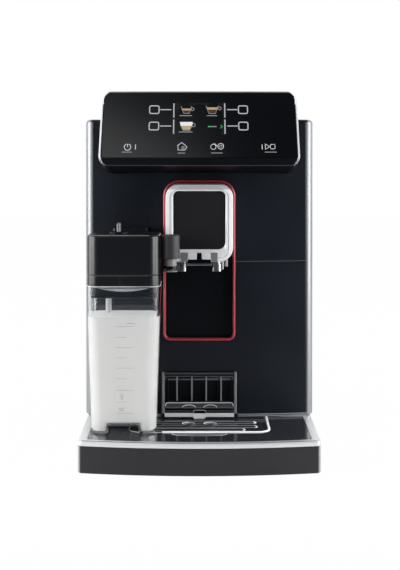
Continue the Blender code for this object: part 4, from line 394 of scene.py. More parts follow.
# The CAD pieces by finish. A width above zero stands for a shell that takes the piece's place:
# the same form with edges eased by so many millimetres. The inner pieces stay as they are, and
# the other pieces under a zero are made anew further down.
PIECE_FINISHES = {
    "panel_black": {0.5: "side_panel_left side_panel_right"},
    "satin_black": {0.4: "service_door",
                    0.3: "upper_front_fascia lower_front_fascia milk_dock spout_carriage"},
    "gloss_black": {0.4: "power_rocker"},
    "tray_black": {0.5: "drip_tray base_pan"},
    "recess_black": {0.3: "niche_plate", 0.4: "control_housing", 0.25: "container_front",
                     0.2: "espresso_shelf", 0: "lid_knob"},
    "mirror_steel": {0.2: "tray_cover"},
    "silver_paint": {0.35: "tray_rim"},
    "trim_silver": {0.3: "control_trim"},
    "panel_glass": {0.3: "control_glass"},
    "lid_black": {0.45: "carafe_lid"},
    "deck_black": {0.5: "top_deck", 0.4: "rear_panel tank_lid hopper_lid preground_lid"},
    "dark_grey": {0.4: "grounds_container grind_knob", 0: "tray_float mains_inlet "
                  "tank_dock preground_chute brew_frame brew_gearmotor"},
    "clear_plastic": {0.4: "water_tank bean_hopper", 0: "carafe_jug"},
    "rubber": {0.6: "foot_front_left foot_front_right foot_rear_left foot_rear_right"},
    "drawn_steel": {0: "lower_burr upper_burr grinder_motor boiler water_pump"},
    "grey_plastic": {0: "inner_frame grinder_housing brew_chamber"},
    "white_plastic": {0: "brew_piston brew_drive_gear flow_meter suction_tube"},
    "circuit_board": {0: "display_board power_board"},
    "bezel_silver": {0: "spout_bezel"},
    "face_texture": {0: "spout_face_plate"},
    "nozzle_chrome": {0: "spout_nozzle_left spout_nozzle_right"},
    "red_satin": {0: "red_ring"},
    "spout_black": {0: "milk_spout"},
}


def dress_pieces():
    for look, groups in PIECE_FINISHES.items():
        for width, names in groups.items():
            for name in names.split():
                for slot in nodes[name].material_slots:
                    slot.material = FINISHES[look]
                if width:
                    make_shell(name, look, width)


# Shared ways of making a piece; every shape is drawn in millimetres

SHARP = math.radians(40)


def flat_keeping_normals(shape, sharp):
    """Normals that round the small faces and leave the large flat ones flat."""
    shape.normal_update()
    shape.faces.index_update()
    areas = [face.calc_area() for face in shape.faces]
    limit = math.cos(math.radians(sharp))
    normals = []
    for face in shape.faces:
        for vert in face.verts:
            total = Vector()
            for other in vert.link_faces:
                if other.normal.dot(face.normal) > limit:
                    total += other.normal * areas[other.index]
            normals.append(total.normalized() if total.length else face.normal.copy())
    return normals


def add_piece(name, shape, look, body="machine", replaced=(), sharp=35, unit=MM):
    """Turn a shape into a named piece that rides on a body."""
    bmesh.ops.scale(shape, vec=(unit, unit, unit), verts=shape.verts)
    normals = flat_keeping_normals(shape, sharp)
    mesh = bpy.data.meshes.new(name)
    shape.to_mesh(mesh)
    shape.free()
    mesh.shade_smooth()
    mesh.normals_split_custom_set(normals)
    mesh.materials.append(FINISHES[look])
    piece = place(name, mesh)
    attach(piece, body)
    if replaced:
        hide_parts(*replaced)


def ease(shape, edges, width, segments=2):
    bmesh.ops.bevel(shape, geom=edges, offset=width, segments=segments, profile=0.5,
                    affect="EDGES", material=-1, clamp_overlap=True)


def ease_sharp(shape, width, segments=2):
    """Ease every edge at which the surface turns by more than 40 degrees."""
    ease(shape, [edge for edge in shape.edges
                 if edge.is_manifold and edge.calc_face_angle() > SHARP], width, segments)


def make_shell(node, look, width):
    """The form of a CAD piece with eased edges, in metres as the piece itself is."""
    shape = bmesh.new()
    shape.from_mesh(nodes[node].data)
    bmesh.ops.remove_doubles(shape, verts=shape.verts, dist=0.005 * MM)
    bmesh.ops.dissolve_limit(shape, angle_limit=math.radians(0.6), verts=shape.verts,
                             edges=shape.edges)
    ease_sharp(shape, width * MM)
    add_piece(node + "_shell", shape, look, nodes[node]["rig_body"], (node,), unit=1)


def even_normals(shape):
    bmesh.ops.recalc_face_normals(shape, faces=shape.faces)


def tidy(shape, distance=0.001):
    bmesh.ops.remove_doubles(shape, verts=shape.verts, dist=distance)
    even_normals(shape)


def open_up(shape, face):
    bmesh.ops.delete(shape, geom=[face], context="FACES_ONLY")


def polygon(shape, points, y=0):
    """Flat face that looks forwards, through points given as x and z."""
    return shape.faces.new([shape.verts.new((x, y, z)) for x, z in points])


def face_of(shape, points, corners, steps):
    """Four-sided face whose first two and last two corners are rounded."""
    before = set(shape.faces)
    verts = [shape.verts.new(point) for point in points]
    shape.faces.new(verts)
    for pair, radius in ((verts[:2], corners[0]), (verts[2:], corners[1])):
        if radius:
            bmesh.ops.bevel(shape, geom=pair, offset=radius, segments=steps, profile=0.5,
                            affect="VERTICES", material=-1)
    return next(face for face in shape.faces if face not in before)


def upright(shape, left, right, low, high, y=0, corners=(0, 0), steps=5):
    """Flat face that looks forwards; the corners are the low and the high radius."""
    return face_of(shape, ((left, y, low), (right, y, low), (right, y, high), (left, y, high)),
                   corners, steps)


def draw_out(shape, face, offset):
    """Extrude a face and return the moved end."""
    made = bmesh.ops.extrude_face_region(shape, geom=[face])["geom"]
    end = next(item for item in made if isinstance(item, bmesh.types.BMFace))
    bmesh.ops.translate(shape, vec=offset, verts=end.verts)
    return end


def step_in(shape, face, width, depth=0):
    """Inset a face by a width and raise it by a depth; the face stays the inner one."""
    bmesh.ops.inset_region(shape, faces=[face], thickness=width, depth=depth,
                           use_even_offset=True, use_boundary=True)


def block(shape, low, high, corners=(0, 0)):
    """Closed upright block with round corners in its front face."""
    face = upright(shape, low[0], high[0], low[2], high[2], low[1], corners, 4)
    draw_out(shape, face, (0, high[1] - low[1], 0))
    even_normals(shape)


def add_block(name, look, body, low, high, width=0, segments=2, corners=(0, 0)):
    """Piece that is a block, its edges eased by a width unless that is zero."""
    shape = bmesh.new()
    block(shape, low, high, corners)
    if width:
        ease_sharp(shape, width, segments)
    add_piece(name, shape, look, body)


def add_lathe(name, look, body, profile, center, steps, replaced=()):
    """Piece spun from a profile of radius and height round an upright line."""
    shape = bmesh.new()
    x, y = center
    verts = [shape.verts.new((x + radius, y, height)) for radius, height in profile]
    edges = [shape.edges.new(pair) for pair in zip(verts, verts[1:])]
    bmesh.ops.spin(shape, geom=verts + edges, cent=(x, y, 0), axis=(0, 0, 1),
                   angle=2 * math.pi, steps=steps, use_merge=True)
    tidy(shape)
    add_piece(name, shape, look, body, replaced)


def bead(shape, path, radius, sides=8):
    """Round wire along a path of points, by sweeping a small circle."""
    closed = path[0] == path[-1]
    stops = path[:-1] if closed else path
    rings = []
    for index, point in enumerate(stops):
        after = (index + 1) % len(stops) if closed else min(index + 1, len(stops) - 1)
        before = index - 1 if closed or index else 0
        along = (Vector(stops[after]) - Vector(stops[before])).normalized()
        turn = along.to_track_quat("Z", "Y").to_matrix().to_4x4()
        ring = bmesh.ops.create_circle(shape, cap_ends=False, segments=sides,
                                       radius=radius)["verts"]
        bmesh.ops.transform(shape, matrix=Matrix.Translation(Vector(point)) @ turn, verts=ring)
        rings.append(ring)
    pairs = list(zip(rings, rings[1:])) + ([(rings[-1], rings[0])] if closed else [])
    for one, other in pairs:
        edges = {edge for vert in one + other for edge in vert.link_edges
                 if {*edge.verts} <= {*one} or {*edge.verts} <= {*other}}
        bmesh.ops.bridge_loops(shape, edges=list(edges))
    if not closed:
        for ring in (rings[0], rings[-1]):
            shape.faces.new(ring)
    even_normals(shape)


def add_bead(name, look, body, path, radius):
    """Piece that is a round wire."""
    shape = bmesh.new()
    bead(shape, path, radius)
    add_piece(name, shape, look, body)


def arc(center, radius, start, turn, steps):
    """Points round a center, with the angles in degrees from the first axis to the second."""
    angles = [math.radians(start + turn * step / steps) for step in range(steps + 1)]
    return [(center[0] + radius * math.cos(angle), center[1] + radius * math.sin(angle))
            for angle in angles]


def round_near_side(left, right, near, far, z, radius):
    """Open path round the near side of a dish, from its far left to its far right."""
    path = [(left, far)]
    path += arc((left + radius, near + radius), radius, 180, 90, 6)
    path += arc((right - radius, near + radius), radius, 270, 90, 6)[1:]
    return [(x, y, z) for x, y in path + [(right, far)]]


# Control head: the graphics of the touch panel and the lines round its foot and sides

# Height and depth at the foot of its front and at the top of its lip, what each part of the
# front leans back over its height, and the bow over its half width
HEAD_FOOT, HEAD_FOOT_DEPTH = 280.4, -160
LIP_TOP, LIP_TOP_DEPTH = 287.9, -158.6
LIP_LEAN, LIP_HEIGHT = 1.4, 7.5
SLOPE_LEAN, SLOPE_HEIGHT = 43.4, 64.1
HEAD_BOW, HEAD_HALF = 4, 94.6
HEAD_LINE = 280.9
SEAL_PLACE = 92.4
SCREEN = (-25.6, 25.6, 309.4, 340.6)
CUP_LEFT, CUP_RIGHT = -12.3, 12.4


def head_front(x, z):
    """Depth of the front of the head: an upright lip below, a slope that leans back above."""
    if z < LIP_TOP:
        depth = HEAD_FOOT_DEPTH + LIP_LEAN * (z - HEAD_FOOT) / LIP_HEIGHT
    else:
        depth = LIP_TOP_DEPTH + SLOPE_LEAN * (z - LIP_TOP) / SLOPE_HEIGHT
    return depth + HEAD_BOW * (x / HEAD_HALF) ** 2


def lay_on_head(shape, proud):
    """Put a drawing made in the plane y = 0 on the sloping front."""
    for vert in shape.verts:
        vert.co.y = head_front(vert.co.x, vert.co.z) - proud


def stroke(shape, start, end, width):
    """Flat line between two points given as x and z."""
    along = Vector((end[0] - start[0], 0, end[1] - start[1])).normalized() * width / 2
    across = Vector((along.z, 0, -along.x))
    a, b = Vector((start[0], 0, start[1])) - along, Vector((end[0], 0, end[1])) + along
    corners = (a + across, b + across, b - across, a - across)
    polygon(shape, [(corner.x, corner.z) for corner in corners])


def strokes(shape, points, width):
    """Flat lines from each point to the next."""
    for start, end in zip(points, points[1:]):
        stroke(shape, start, end, width)


def frame_line(shape, left, right, low, high, radius, width):
    """Outline of a round-cornered square."""
    face = upright(shape, left, right, low, high, 0, (radius, radius))
    step_in(shape, face, width)
    open_up(shape, face)


def arc_line(shape, center, radius, width, start=0, turn=360):
    """Flat arc; the angles are in degrees, from the right, towards the top."""
    middle = (center[0], 0, center[1])
    ends = [shape.verts.new((center[0] + reach, 0, center[1]))
            for reach in (radius - width / 2, radius + width / 2)]
    edge = shape.edges.new(ends)
    bmesh.ops.rotate(shape, cent=middle, verts=ends,
                     matrix=Matrix.Rotation(-math.radians(start), 3, "Y"))
    bmesh.ops.spin(shape, geom=ends + [edge], cent=middle, axis=(0, -1, 0),
                   angle=math.radians(turn), steps=14, use_merge=turn == 360)


def cup_part(shape, middle, half_low, half_high, low, high):
    """One level of what a drawn cup holds."""
    polygon(shape, ((middle - half_low, low), (middle + half_low, low),
                    (middle + half_high, high), (middle - half_high, high)))


def draw_screen(shape):
    upright(shape, *SCREEN, 0, (1.5, 1.5))


def draw_keys(shape):
    """Four square keys, the lines that join them to the screen, and its side bars."""
    for side, outer, inner, line in ((-1, 48.2, 38.1, 37.4), (1, 46.8, 37, 36.6)):
        for low, high in ((329.7, 338.2), (313.9, 322.3)):
            left, right = sorted((side * outer, side * inner))
            frame_line(shape, left, right, low, high, 2, 1.05)
            middle = (low + high) / 2
            stroke(shape, (side * (line - 0.5), middle), (side * 27.2, middle), 0.95)
        for low, high in ((326.9, 339.6), (311.2, 323.8)):
            stroke(shape, (side * 24.4, low), (side * 24.4, high), 1.1)


def draw_symbols(shape):
    """Power, home, clean and start-stop symbols along the foot of the panel."""
    arc_line(shape, (-67.6, 298.2), 3.1, 0.5, 110, 320)
    stroke(shape, (-67.6, 298.4), (-67.6, 300.9), 0.5)
    stroke(shape, (-60.1, 296.2), (-60.1, 300.2), 0.6)
    strokes(shape, ((-20.7, 299.4), (-16.6, 302.4), (-13.2, 299.8), (-11.6, 298),
                    (-13.6, 295.3)), 0.42)
    strokes(shape, ((-20, 299.4), (-20, 295.3), (-13.6, 295.3)), 0.42)
    arc_line(shape, (-15.4, 297.4), 1.2, 0.3)
    arc_line(shape, (13.2, 298.4), 2.5, 0.45)
    stroke(shape, (14.4, 301.4), (17, 298.8), 0.45)
    arc_line(shape, (20.2, 298.8), 2.7, 0.5)
    arc_line(shape, (20.2, 298.8), 1.1, 0.3)
    stroke(shape, (59.2, 296.2), (59.2, 300.2), 0.6)
    strokes(shape, ((62.2, 296), (62.2, 301), (66.4, 298.5), (62.2, 296)), 0.42)
    frame_line(shape, 66.8, 71.6, 296.2, 300.8, 1.2, 0.45)


def draw_captions(shape):
    """Plain bars where the panel has its captions."""
    for middle, half, height in (
            (-13, 6.2, 328.1), (12.1, 5.1, 328.1), (-13, 6.7, 312.4), (-68.1, 4.8, 293.4),
            (-16.6, 3.6, 292.5), (16.5, 5.5, 292.6), (67.2, 5.8, 293.4)):
        stroke(shape, (middle - half + 0.5, height), (middle + half - 0.5, height), 0.7)


def draw_cup_walls(shape):
    """Outline of the drawn glass cups, with their handles."""
    for middle, low, foot, rim, top in (
            (CUP_LEFT, 330.4, 2.6, 5, 336.8), (CUP_RIGHT, 330.2, 3, 5.8, 337.4),
            (CUP_LEFT, 313.9, 3.2, 5.4, 319)):
        for side in (-1, 1):
            stroke(shape, (middle + side * foot, low), (middle + side * rim, top), 0.6)
        stroke(shape, (middle - foot, low), (middle + foot, low), 0.6)
    for center, radius in (((-6.4, 334.4), 1.4), ((19.4, 335.2), 1.5), ((-5.5, 318.9), 1.6)):
        arc_line(shape, center, radius, 0.6)


def fill_cups(*levels):
    """Drawing of levels in the cups: middle, half width below and above, low and high end."""
    def draw(shape):
        for level in levels:
            cup_part(shape, *level)

    return draw


def draw_progress(shape):
    stroke(shape, (8.9, 317.6), (10.1, 317.6), 1.2)
    strokes(shape, ((20.2, 319), (22, 317.5), (20.2, 316.1)), 0.55)


def draw_dots(shape):
    for x in (11.9, 13.8, 15.6):
        stroke(shape, (x - 0.3, 317.6), (x + 0.3, 317.6), 1)


PANEL_DRAWINGS = (
    ("panel_screen", "screen_black", draw_screen, 0.04),
    ("panel_keys", "panel_mark", draw_keys, 0.08),
    ("panel_symbols", "panel_light", draw_symbols, 0.06),
    ("panel_captions", "panel_soft", draw_captions, 0.08),
    ("drawn_cup_walls", "panel_soft", draw_cup_walls, 0.07),
    ("drawn_coffee", "drawn_coffee", fill_cups(
        (CUP_LEFT, 2.6, 3.6, 331, 333.2), (CUP_RIGHT, 3, 4.4, 331, 333.9)), 0.1),
    ("drawn_crema", "drawn_crema", fill_cups(
        (CUP_LEFT, 3.5, 4.2, 333.2, 335), (CUP_RIGHT, 4.5, 5.5, 333.9, 336.2),
        (CUP_LEFT, 3.1, 4.9, 314.6, 318.4)), 0.1),
    ("drawn_foam", "panel_light", fill_cups((CUP_LEFT, 5.5, 6.1, 318.4, 322)), 0.1),
    ("panel_progress", "drawn_green", draw_progress, 0.08),
    ("panel_dots", "panel_soft", draw_dots, 0.08),
)


def make_panel_graphics():
    for name, look, draw, proud in PANEL_DRAWINGS:
        shape = bmesh.new()
        draw(shape)
        long_edges = [edge for edge in shape.edges if edge.calc_length() > 6]
        bmesh.ops.subdivide_edges(shape, edges=long_edges, cuts=3)
        even_normals(shape)
        lay_on_head(shape, proud)
        add_piece(name, shape, look)


def make_head_lines():
    """Fine line along the foot of the head, turned up at both ends, seals along the glass and
    the black face of the lip."""
    end = [(-93.4, 287.5), (-92.6, 284.6), (-90.6, 282.4), (-87.6, 281.2), (-84, HEAD_LINE)]
    path = end + [(x, HEAD_LINE) for x in range(-72, 73, 12)]
    path += [(-x, z) for x, z in reversed(end)]
    add_bead("head_foot_line", "dark_grey", "machine",
             [(x, head_front(x, z) - 0.05, z) for x, z in path], 0.3)
    for name, side in SIDES:
        add_bead("head_seal_" + name, "recess_black", "machine",
                 [(side * SEAL_PLACE, head_front(SEAL_PLACE, z) - 0.15, z)
                  for z in (288.6, 305, 320, 339)], 0.5)
    shape = bmesh.new()
    for x in range(-84, 84, 12):
        stroke(shape, (x + 3, 284.5), (x + 9, 284.5), 6)
    corner = ((84, 281.5), (88, 282.7), (90.4, 285), (91, 287.5), (84, 287.5))
    for side in (-1, 1):
        polygon(shape, [(side * x, z) for x, z in corner])
    tidy(shape, 0.01)
    lay_on_head(shape, 0.06)
    add_piece("head_lip", shape, "recess_black")


# Coffee spout

SPOUT = "coffee_spout"
BEZEL_BACK = -104
BEZEL_DEPTH = 39.2
# Steps from the bezel's outer edge inwards: width, depth, and how far its top and its foot rise
BEZEL_STEPS = ((0.25, 0.7, 0, 0), (0.35, 0.5, 0, 0), (3.3, 0.9, 0, 0), (0.15, -0.45, 0, 0),
               (0.3, 0, 0, 0), (0.15, 0.3, 0, 0), (1.85, 0.25, 0.5, 1.6),
               (0.85, -1, 0.5, 3.3))
BEZEL_GROOVE = -145.05
CHIN_FRONT = -146.15


def make_spout_bezel():
    """Silver bezel with a rounded outer edge, a fine groove and an inner step, open behind."""
    shape = bmesh.new()
    face = upright(shape, -32, 32, 189, 262.6, BEZEL_BACK, (14, 12), 12)
    face = draw_out(shape, face, (0, -BEZEL_DEPTH, 0))
    for width, depth, lift, foot_lift in BEZEL_STEPS:
        step_in(shape, face, width, depth)
        top = [vert for vert in face.verts if vert.co.z > 245]
        foot = [vert for vert in face.verts if vert.co.z < 210]
        bmesh.ops.translate(shape, vec=(0, 0, lift), verts=top)
        bmesh.ops.translate(shape, vec=(0, 0, foot_lift), verts=foot)
    step_in(shape, face, 0.12, -1.3)
    open_up(shape, face)
    open_up(shape, max(shape.faces, key=lambda item: item.calc_center_median().y))
    even_normals(shape)
    add_piece("spout_bezel_silver", shape, "bezel_silver", SPOUT, ("spout_bezel",), sharp=28)


def make_bezel_lines():
    """Dark line in the groove of the bezel, and a short one below its top band."""
    path = []
    for x, z, radius, start in ((18, 248.6, 9.8, 0), (-18, 248.6, 9.8, 90), (-20, 201, 7.8, 180),
                                (20, 201, 7.8, 270)):
        path += arc((x, z), radius, start, 90, 6)
    add_bead("bezel_line", "edge_grey", SPOUT,
             [(x, BEZEL_GROOVE, z) for x, z in path + path[:1]], 0.22)
    add_bead("bezel_top_line", "edge_grey", SPOUT,
             [(-19.5, -144.9, 260.3), (20.5, -144.9, 260.3)], 0.2)


def make_spout_face():
    """Textured plate with eased edges, left bare."""
    front = -143.8
    shape = bmesh.new()
    face = upright(shape, -24.4, 24.4, 201.3, 256.2, front, (6.6, 5.4), 8)
    draw_out(shape, face, (0, 1.6, 0))
    even_normals(shape)
    ease(shape, [edge for edge in shape.edges
                 if all(vert.co.y < front + 0.1 for vert in edge.verts)], 0.35, 3)
    add_piece("spout_face_textured", shape, "face_texture", SPOUT, ("spout_face_plate",))


def make_spout_chin():
    """Cheeks painted grey as shade, pale floors and sensor under the face plate, and the slot below
    them.
    """
    for name, side in SIDES:
        shape = bmesh.new()
        near, far = side * 17.2, side * 11.2
        points = ((near, CHIN_FRONT, 189.4), (far + side * 0.6, CHIN_FRONT + 0.25, 189.4),
                  (far - side * 0.6, CHIN_FRONT + 0.25, 198.2), (near, CHIN_FRONT, 198.2))
        face = shape.faces.new([shape.verts.new(point) for point in points])
        draw_out(shape, face, (0, 1, 0))
        tidy(shape)
        ease_sharp(shape, 0.15)
        # painted shade: the cheeks take a darker grey than the pale floors beside them
        add_piece("spout_cheek_" + name, shape, "grey_and_cheek_shade", SPOUT)
        inner, outer = sorted((side * 2.3, side * 10.8))
        add_block("spout_floor_" + name, "bezel_silver", SPOUT,
                  (inner, -146.05, 191.9), (outer, -145.2, 197.9), 0.3)
    for name, look, low, high, width, corner in (
            ("sensor", "gloss_black", (-2.1, -146.2, 191.6), (2.1, -145.2, 198.2), 0.2, 0.4),
            ("slot", "gloss_black", (-10.9, -146.2, 188), (10.9, -143.5, 191.5), 0.25, 0.5),
            ("strip", "chrome", (-12.2, -145.6, 186), (12.2, -142, 188), 0.3, 0.8)):
        add_block("spout_" + name, look, SPOUT, low, high, width, corners=(corner, corner))


# Chrome outlets with a slim rib beside each, and the dark outlets between them: x, y, number
# of steps and the profile of radius and height
NOZZLE_PARTS = (
    ("nozzle_tube_", "nozzle_chrome", 16.6, -133, 40,
     ((3.4, 188.5), (3.4, 179.6), (3.7, 179.3), (4.2, 179.3), (4.5, 179.6), (4.5, 186.6),
      (4.2, 186.9), (4.2, 187.5), (4.5, 187.8), (4.5, 191.4), (3.4, 191.4), (3.4, 188.5))),
    ("nozzle_rib_", "edge_silver", 22, -134.5, 20,
     ((0, 181.2), (0.9, 181.2), (1.2, 181.5), (1.2, 191), (0, 191))),
    ("inner_outlet_", "dark_grey", 8.2, -127, 24,
     ((1.9, 184.4), (2.7, 184.2), (2.9, 184.8), (2.9, 189.6), (1.9, 189.6), (1.9, 184.4))),
)


def make_nozzles():
    for name, side in SIDES:
        for part, look, x, y, steps, profile in NOZZLE_PARTS:
            replaced = ("spout_nozzle_" + name,) if part == "nozzle_tube_" else ()
            add_lathe(part + name, look, SPOUT, profile, (side * x, y), steps, replaced)
    add_lathe("spout_stub", "grey_plastic", SPOUT,
              ((0, 183.2), (1.5, 183.2), (1.9, 183.6), (1.9, 190.6), (0, 190.6)), (25.6, -125), 20)


# Red ring and the front of the shell

FRONT_DEPTH = -108.5
FRONT_BOW = 8.5
FRONT_HALF = 112


def follow_front(shape, xs):
    """Divide a flat piece at several distances from the middle and bend it to the bow of the
    front plates; y = 0 comes to lie on them."""
    for x in xs:
        bmesh.ops.bisect_plane(shape, geom=shape.verts[:] + shape.edges[:] + shape.faces[:],
                               dist=0.0001, plane_co=(x, 0, 0), plane_no=(1, 0, 0))
    for vert in shape.verts:
        vert.co.y += FRONT_DEPTH + FRONT_BOW * (vert.co.x / FRONT_HALF) ** 2


def make_red_ring():
    """Slim ring with a rounded outer edge and a sloping inner one, open behind."""
    shape = bmesh.new()
    face = upright(shape, -35.2, 35.2, 108.7, 265.8, 4.5, (7, 15.3), 12)
    face = draw_out(shape, face, (0, -5.5, 0))
    for width, depth in ((0.15, 0.35), (0.35, 0.4), (0.6, 0.2), (0.4, -0.05),
                         (0.6, -0.5), (0.4, -0.75), (0.2, -4)):
        step_in(shape, face, width, depth)
    open_up(shape, face)
    open_up(shape, max(shape.faces, key=lambda item: item.calc_center_median().y))
    even_normals(shape)
    follow_front(shape, range(-16, 17, 8))
    add_piece("ring_of_recess", shape, "red_satin", "machine", ("red_ring",), sharp=60)


def make_front_lines():
    """Painted highlight along the seam, and painted highlights along the foot of the front."""
    # painted highlight: a light grey line for the light caught by the seam's chamfer
    shape = bmesh.new()
    block(shape, (36.2, -0.12, 186.2), (107.5, 0.3, 186.5))
    follow_front(shape, range(40, 107, 6))
    add_piece("seam_highlight_line", shape, "edge_grey")
    # painted highlight: two silver strips along the front's lower edge
    for name, left, right in (("left", -107.5, -37.6), ("right", 37.6, 107.5)):
        for level, low, high, proud in (("_low", 34.35, 35.3, 0.5), ("_high", 35.9, 36.9, 0.35)):
            shape = bmesh.new()
            block(shape, (left, -proud, low), (right, 0.6, high))
            follow_front(shape, range(int(left) + 6, int(right), 6))
            ease_sharp(shape, 0.12)
            add_piece("foot_strip_" + name + level, shape, "edge_silver")


# Milk carafe

LID = "carafe_top"
CARAFE_X = -70
JUG_FRONT = -181
JUG_DEPTH = 53
JUG_FOOT = 34.4
JUG_TOP = 170
JUG_HEIGHT = 135.6
JUG_HALF = 30
JUG_FLARE = 4.2
JUG_CORNER = 10.6
JUG_FOOT_EASE = 1.8
JUG_WALL = 2
JUG_LEAN_FRONT = 1
JUG_LEAN_BACK = -2
CHANNEL_TOP = 40.7
MILK_INSET = 1.9
MILK_LEVEL = 141.5


def jug_body(shape, inset, high, channel):
    """Tapered jug form with the channel along its underside."""
    def half(z):
        return JUG_HALF + JUG_FLARE * (z - JUG_FOOT) / JUG_HEIGHT - inset

    low = JUG_FOOT + inset
    shelf = CHANNEL_TOP + 1.6 * inset
    right = [(channel, shelf), (channel, low), (half(low), low), (half(high), high)]
    profile = [(-x, z) for x, z in right[2::-1]] + right + [(-half(high), high)]
    face = polygon(shape, [(CARAFE_X + x, z) for x, z in profile], JUG_FRONT + inset)
    draw_out(shape, face, (0, JUG_DEPTH - 2 * inset, 0))
    even_normals(shape)
    for vert in shape.verts:
        lean = JUG_LEAN_FRONT if vert.co.y < -150 else JUG_LEAN_BACK
        vert.co.y += lean * (JUG_TOP - vert.co.z) / JUG_HEIGHT
    corners = [edge for edge in shape.edges
               if abs(edge.verts[0].co.z - edge.verts[1].co.z) > 80]
    ease(shape, corners, JUG_CORNER - inset, 10)
    feet = [edge for edge in shape.edges
            if edge.is_manifold and edge.calc_face_angle() > math.radians(50)
            and max(vert.co.z for vert in edge.verts) < shelf + 1]
    ease(shape, feet, JUG_FOOT_EASE, 3)


def make_jug():
    """Clear jug: outer form, opened at the mouth and given its wall, and a painted highlight along
    its mouth.
    """
    shape = bmesh.new()
    jug_body(shape, 0, JUG_TOP, 14)
    open_up(shape, max(shape.faces, key=lambda item: item.calc_center_median().z))
    even_normals(shape)
    bmesh.ops.solidify(shape, geom=shape.faces[:], thickness=JUG_WALL)
    add_piece("jug_clear", shape, "clear_plastic", "carafe", ("carafe_jug",), sharp=60)
    # painted highlight: a bright bead along the jug's mouth
    add_bead("jug_rim_highlight", "painted_highlight_white", "carafe",
             round_near_side(CARAFE_X - 33.9, CARAFE_X + 33.9, -180.9, -134, 169.85, 10.9), 0.38)


def make_milk():
    # painted light: the milk body glows through its finish
    shape = bmesh.new()
    jug_body(shape, MILK_INSET, MILK_LEVEL, 16.1)
    add_piece("milk_fill", shape, "milk", "carafe")
    # painted light: a glowing plate on the milk stands in for its brightly lit top
    shape = bmesh.new()
    left, right, near, far = CARAFE_X - 30.8, CARAFE_X + 30.8, -177.9, -130.4
    level = MILK_LEVEL + 0.1
    face_of(shape, ((left, near, level), (right, near, level), (right, far, level),
                    (left, far, level)), (8, 8), 8)
    add_piece("milk_surface", shape, "milk_top_glow", "carafe")


def make_jug_marks():
    """Graduation marks and two small cups printed on the front of the jug."""
    shape = bmesh.new()
    for index, height in enumerate((133.4, 123.5, 114, 104.5, 95.1, 85.3, 74.5, 63.9, 53.4)):
        stroke(shape, (-76.6, height), (-66.9 if index % 2 else -60.2, height), 0.42)
    stroke(shape, (-66.3, 136.2), (-59.2, 136.2), 0.6)
    for middle, half, low, high in ((-71.3, 1.4, 66, 70.8), (-71.6, 2.6, 55.4, 58.4)):
        cup_part(shape, middle, half * 0.7, half, low, high)
    even_normals(shape)
    for vert in shape.verts:
        vert.co.y = JUG_FRONT + 0.94 - (vert.co.z - JUG_FOOT) / JUG_HEIGHT
    add_piece("jug_marks", shape, "mark_grey", "carafe")


def make_lid_lines():
    """Joint line on the lid's band, a painted highlight along its top front edge, the seals round
    its collar and a painted reflection curving across the collar.
    """
    add_block("lid_joint_line", "band_grey", LID, (-73, -181.04, 171), (-72.7, -180, 179))
    # painted highlight along the lid's top front edge
    add_bead("lid_front_edge_highlight", "edge_grey", LID, [(-100, -180.6, 217), (-46, -180.6, 217)], 0.35)
    for name, height in (("1", 163.2), ("2", 160.2)):
        add_bead("collar_seal_" + name, "rubber", LID,
                 round_near_side(CARAFE_X - 30.9, CARAFE_X + 30.9, -178.1, -136, height, 8.4), 0.5)
    # painted reflection: a pale curved plate inside the collar's front
    shape = bmesh.new()
    lens = [(-94 + 48 * step / 16, 168.2 - 3 * math.sin(math.pi * step / 16))
            for step in range(1, 16)]
    face = polygon(shape, [(-94, 168.2)] + lens + [(-46, 168.2)], -178.3)
    draw_out(shape, face, (0, 0.3, 0))
    tidy(shape)
    add_piece("collar_painted_reflection", shape, "painted_highlight_white", LID)


def make_lid_knob():
    """Low disc with an upright fin."""
    add_lathe("knob_disc", "recess_black", "lifter",
              ((0, 217.2), (9, 217.2), (9, 218.4), (8.6, 218.9), (0, 218.9)),
              (-75.3, -156), 40, ("lid_knob",))
    add_block("knob_fin", "edge_grey", "lifter",
              (-76.95, -163.2, 218.6), (-73.65, -148.8, 227), 1.1, 4)


def make_milk_spout():
    """Milk spout: round head, grey stem and a nozzle with a pale rim."""
    for name, look, steps, replaced, profile in (
            ("milk_head", "spout_black", 56, ("milk_spout",),
             ((0, 194.6), (8.4, 194.6), (8.9, 195.1), (8.9, 215.6), (8.7, 216.1), (7.9, 216.6),
              (0, 216.6))),
            ("milk_stem", "grey_and_cheek_shade", 48, (),
             ((0, 187.6), (5.6, 187.6), (5.8, 188), (5.8, 194.7), (0, 194.7))),
            ("milk_nozzle", "grey_and_cheek_shade", 48, (),
             ((2.4, 186.5), (2.4, 182.2), (6.6, 182.2), (6.9, 182.5), (6.9, 183.1), (6.6, 183.4),
              (3.8, 183.8), (3.8, 187.7), (2.4, 187.7), (2.4, 186.5))),
            ("milk_nozzle_collar", "gloss_black", 48, (),
             ((3.9, 187.6), (6.2, 187.6), (6.2, 184.6), (3.9, 184.6), (3.9, 187.6)))):
        add_lathe(name, look, LID, profile, (-27, -164), steps, replaced)


# Tray cover, bright rim and the front of the grounds container

# Depth and half width of the three slots of the cover
SLOTS = ((-128, 54.5), (-145, 55), (-157.5, 43))
SLOT_ROUND = 4
DISH_FRONT = -173


def make_dish_highlights():
    """Painted highlights along the edge of the cover's dish and its tab: bright beads, the right
    one glowing.
    """
    path = round_near_side(-65.6, 65.6, DISH_FRONT, -108, 33.75, 13)
    add_bead("dish_highlight_left", "painted_highlight_white", "tray", path[:8] + [(-35, DISH_FRONT, 33.75)], 0.6)
    add_bead("dish_highlight_right", "painted_highlight_glow", "tray",
             [(x, y, 34.1) for x, y, z in [(-34.5, DISH_FRONT, 0)] + path[8:]], 0.95)
    left = [(-26, -174.6), (-24.8, -181), (-20, -184.4), (-10, -185.8)]
    path = left + [(0, -186.3)] + [(-x, y) for x, y in reversed(left)]
    add_bead("tab_highlight", "edge_silver", "tray", [(x, y, 34) for x, y in path], 0.3)


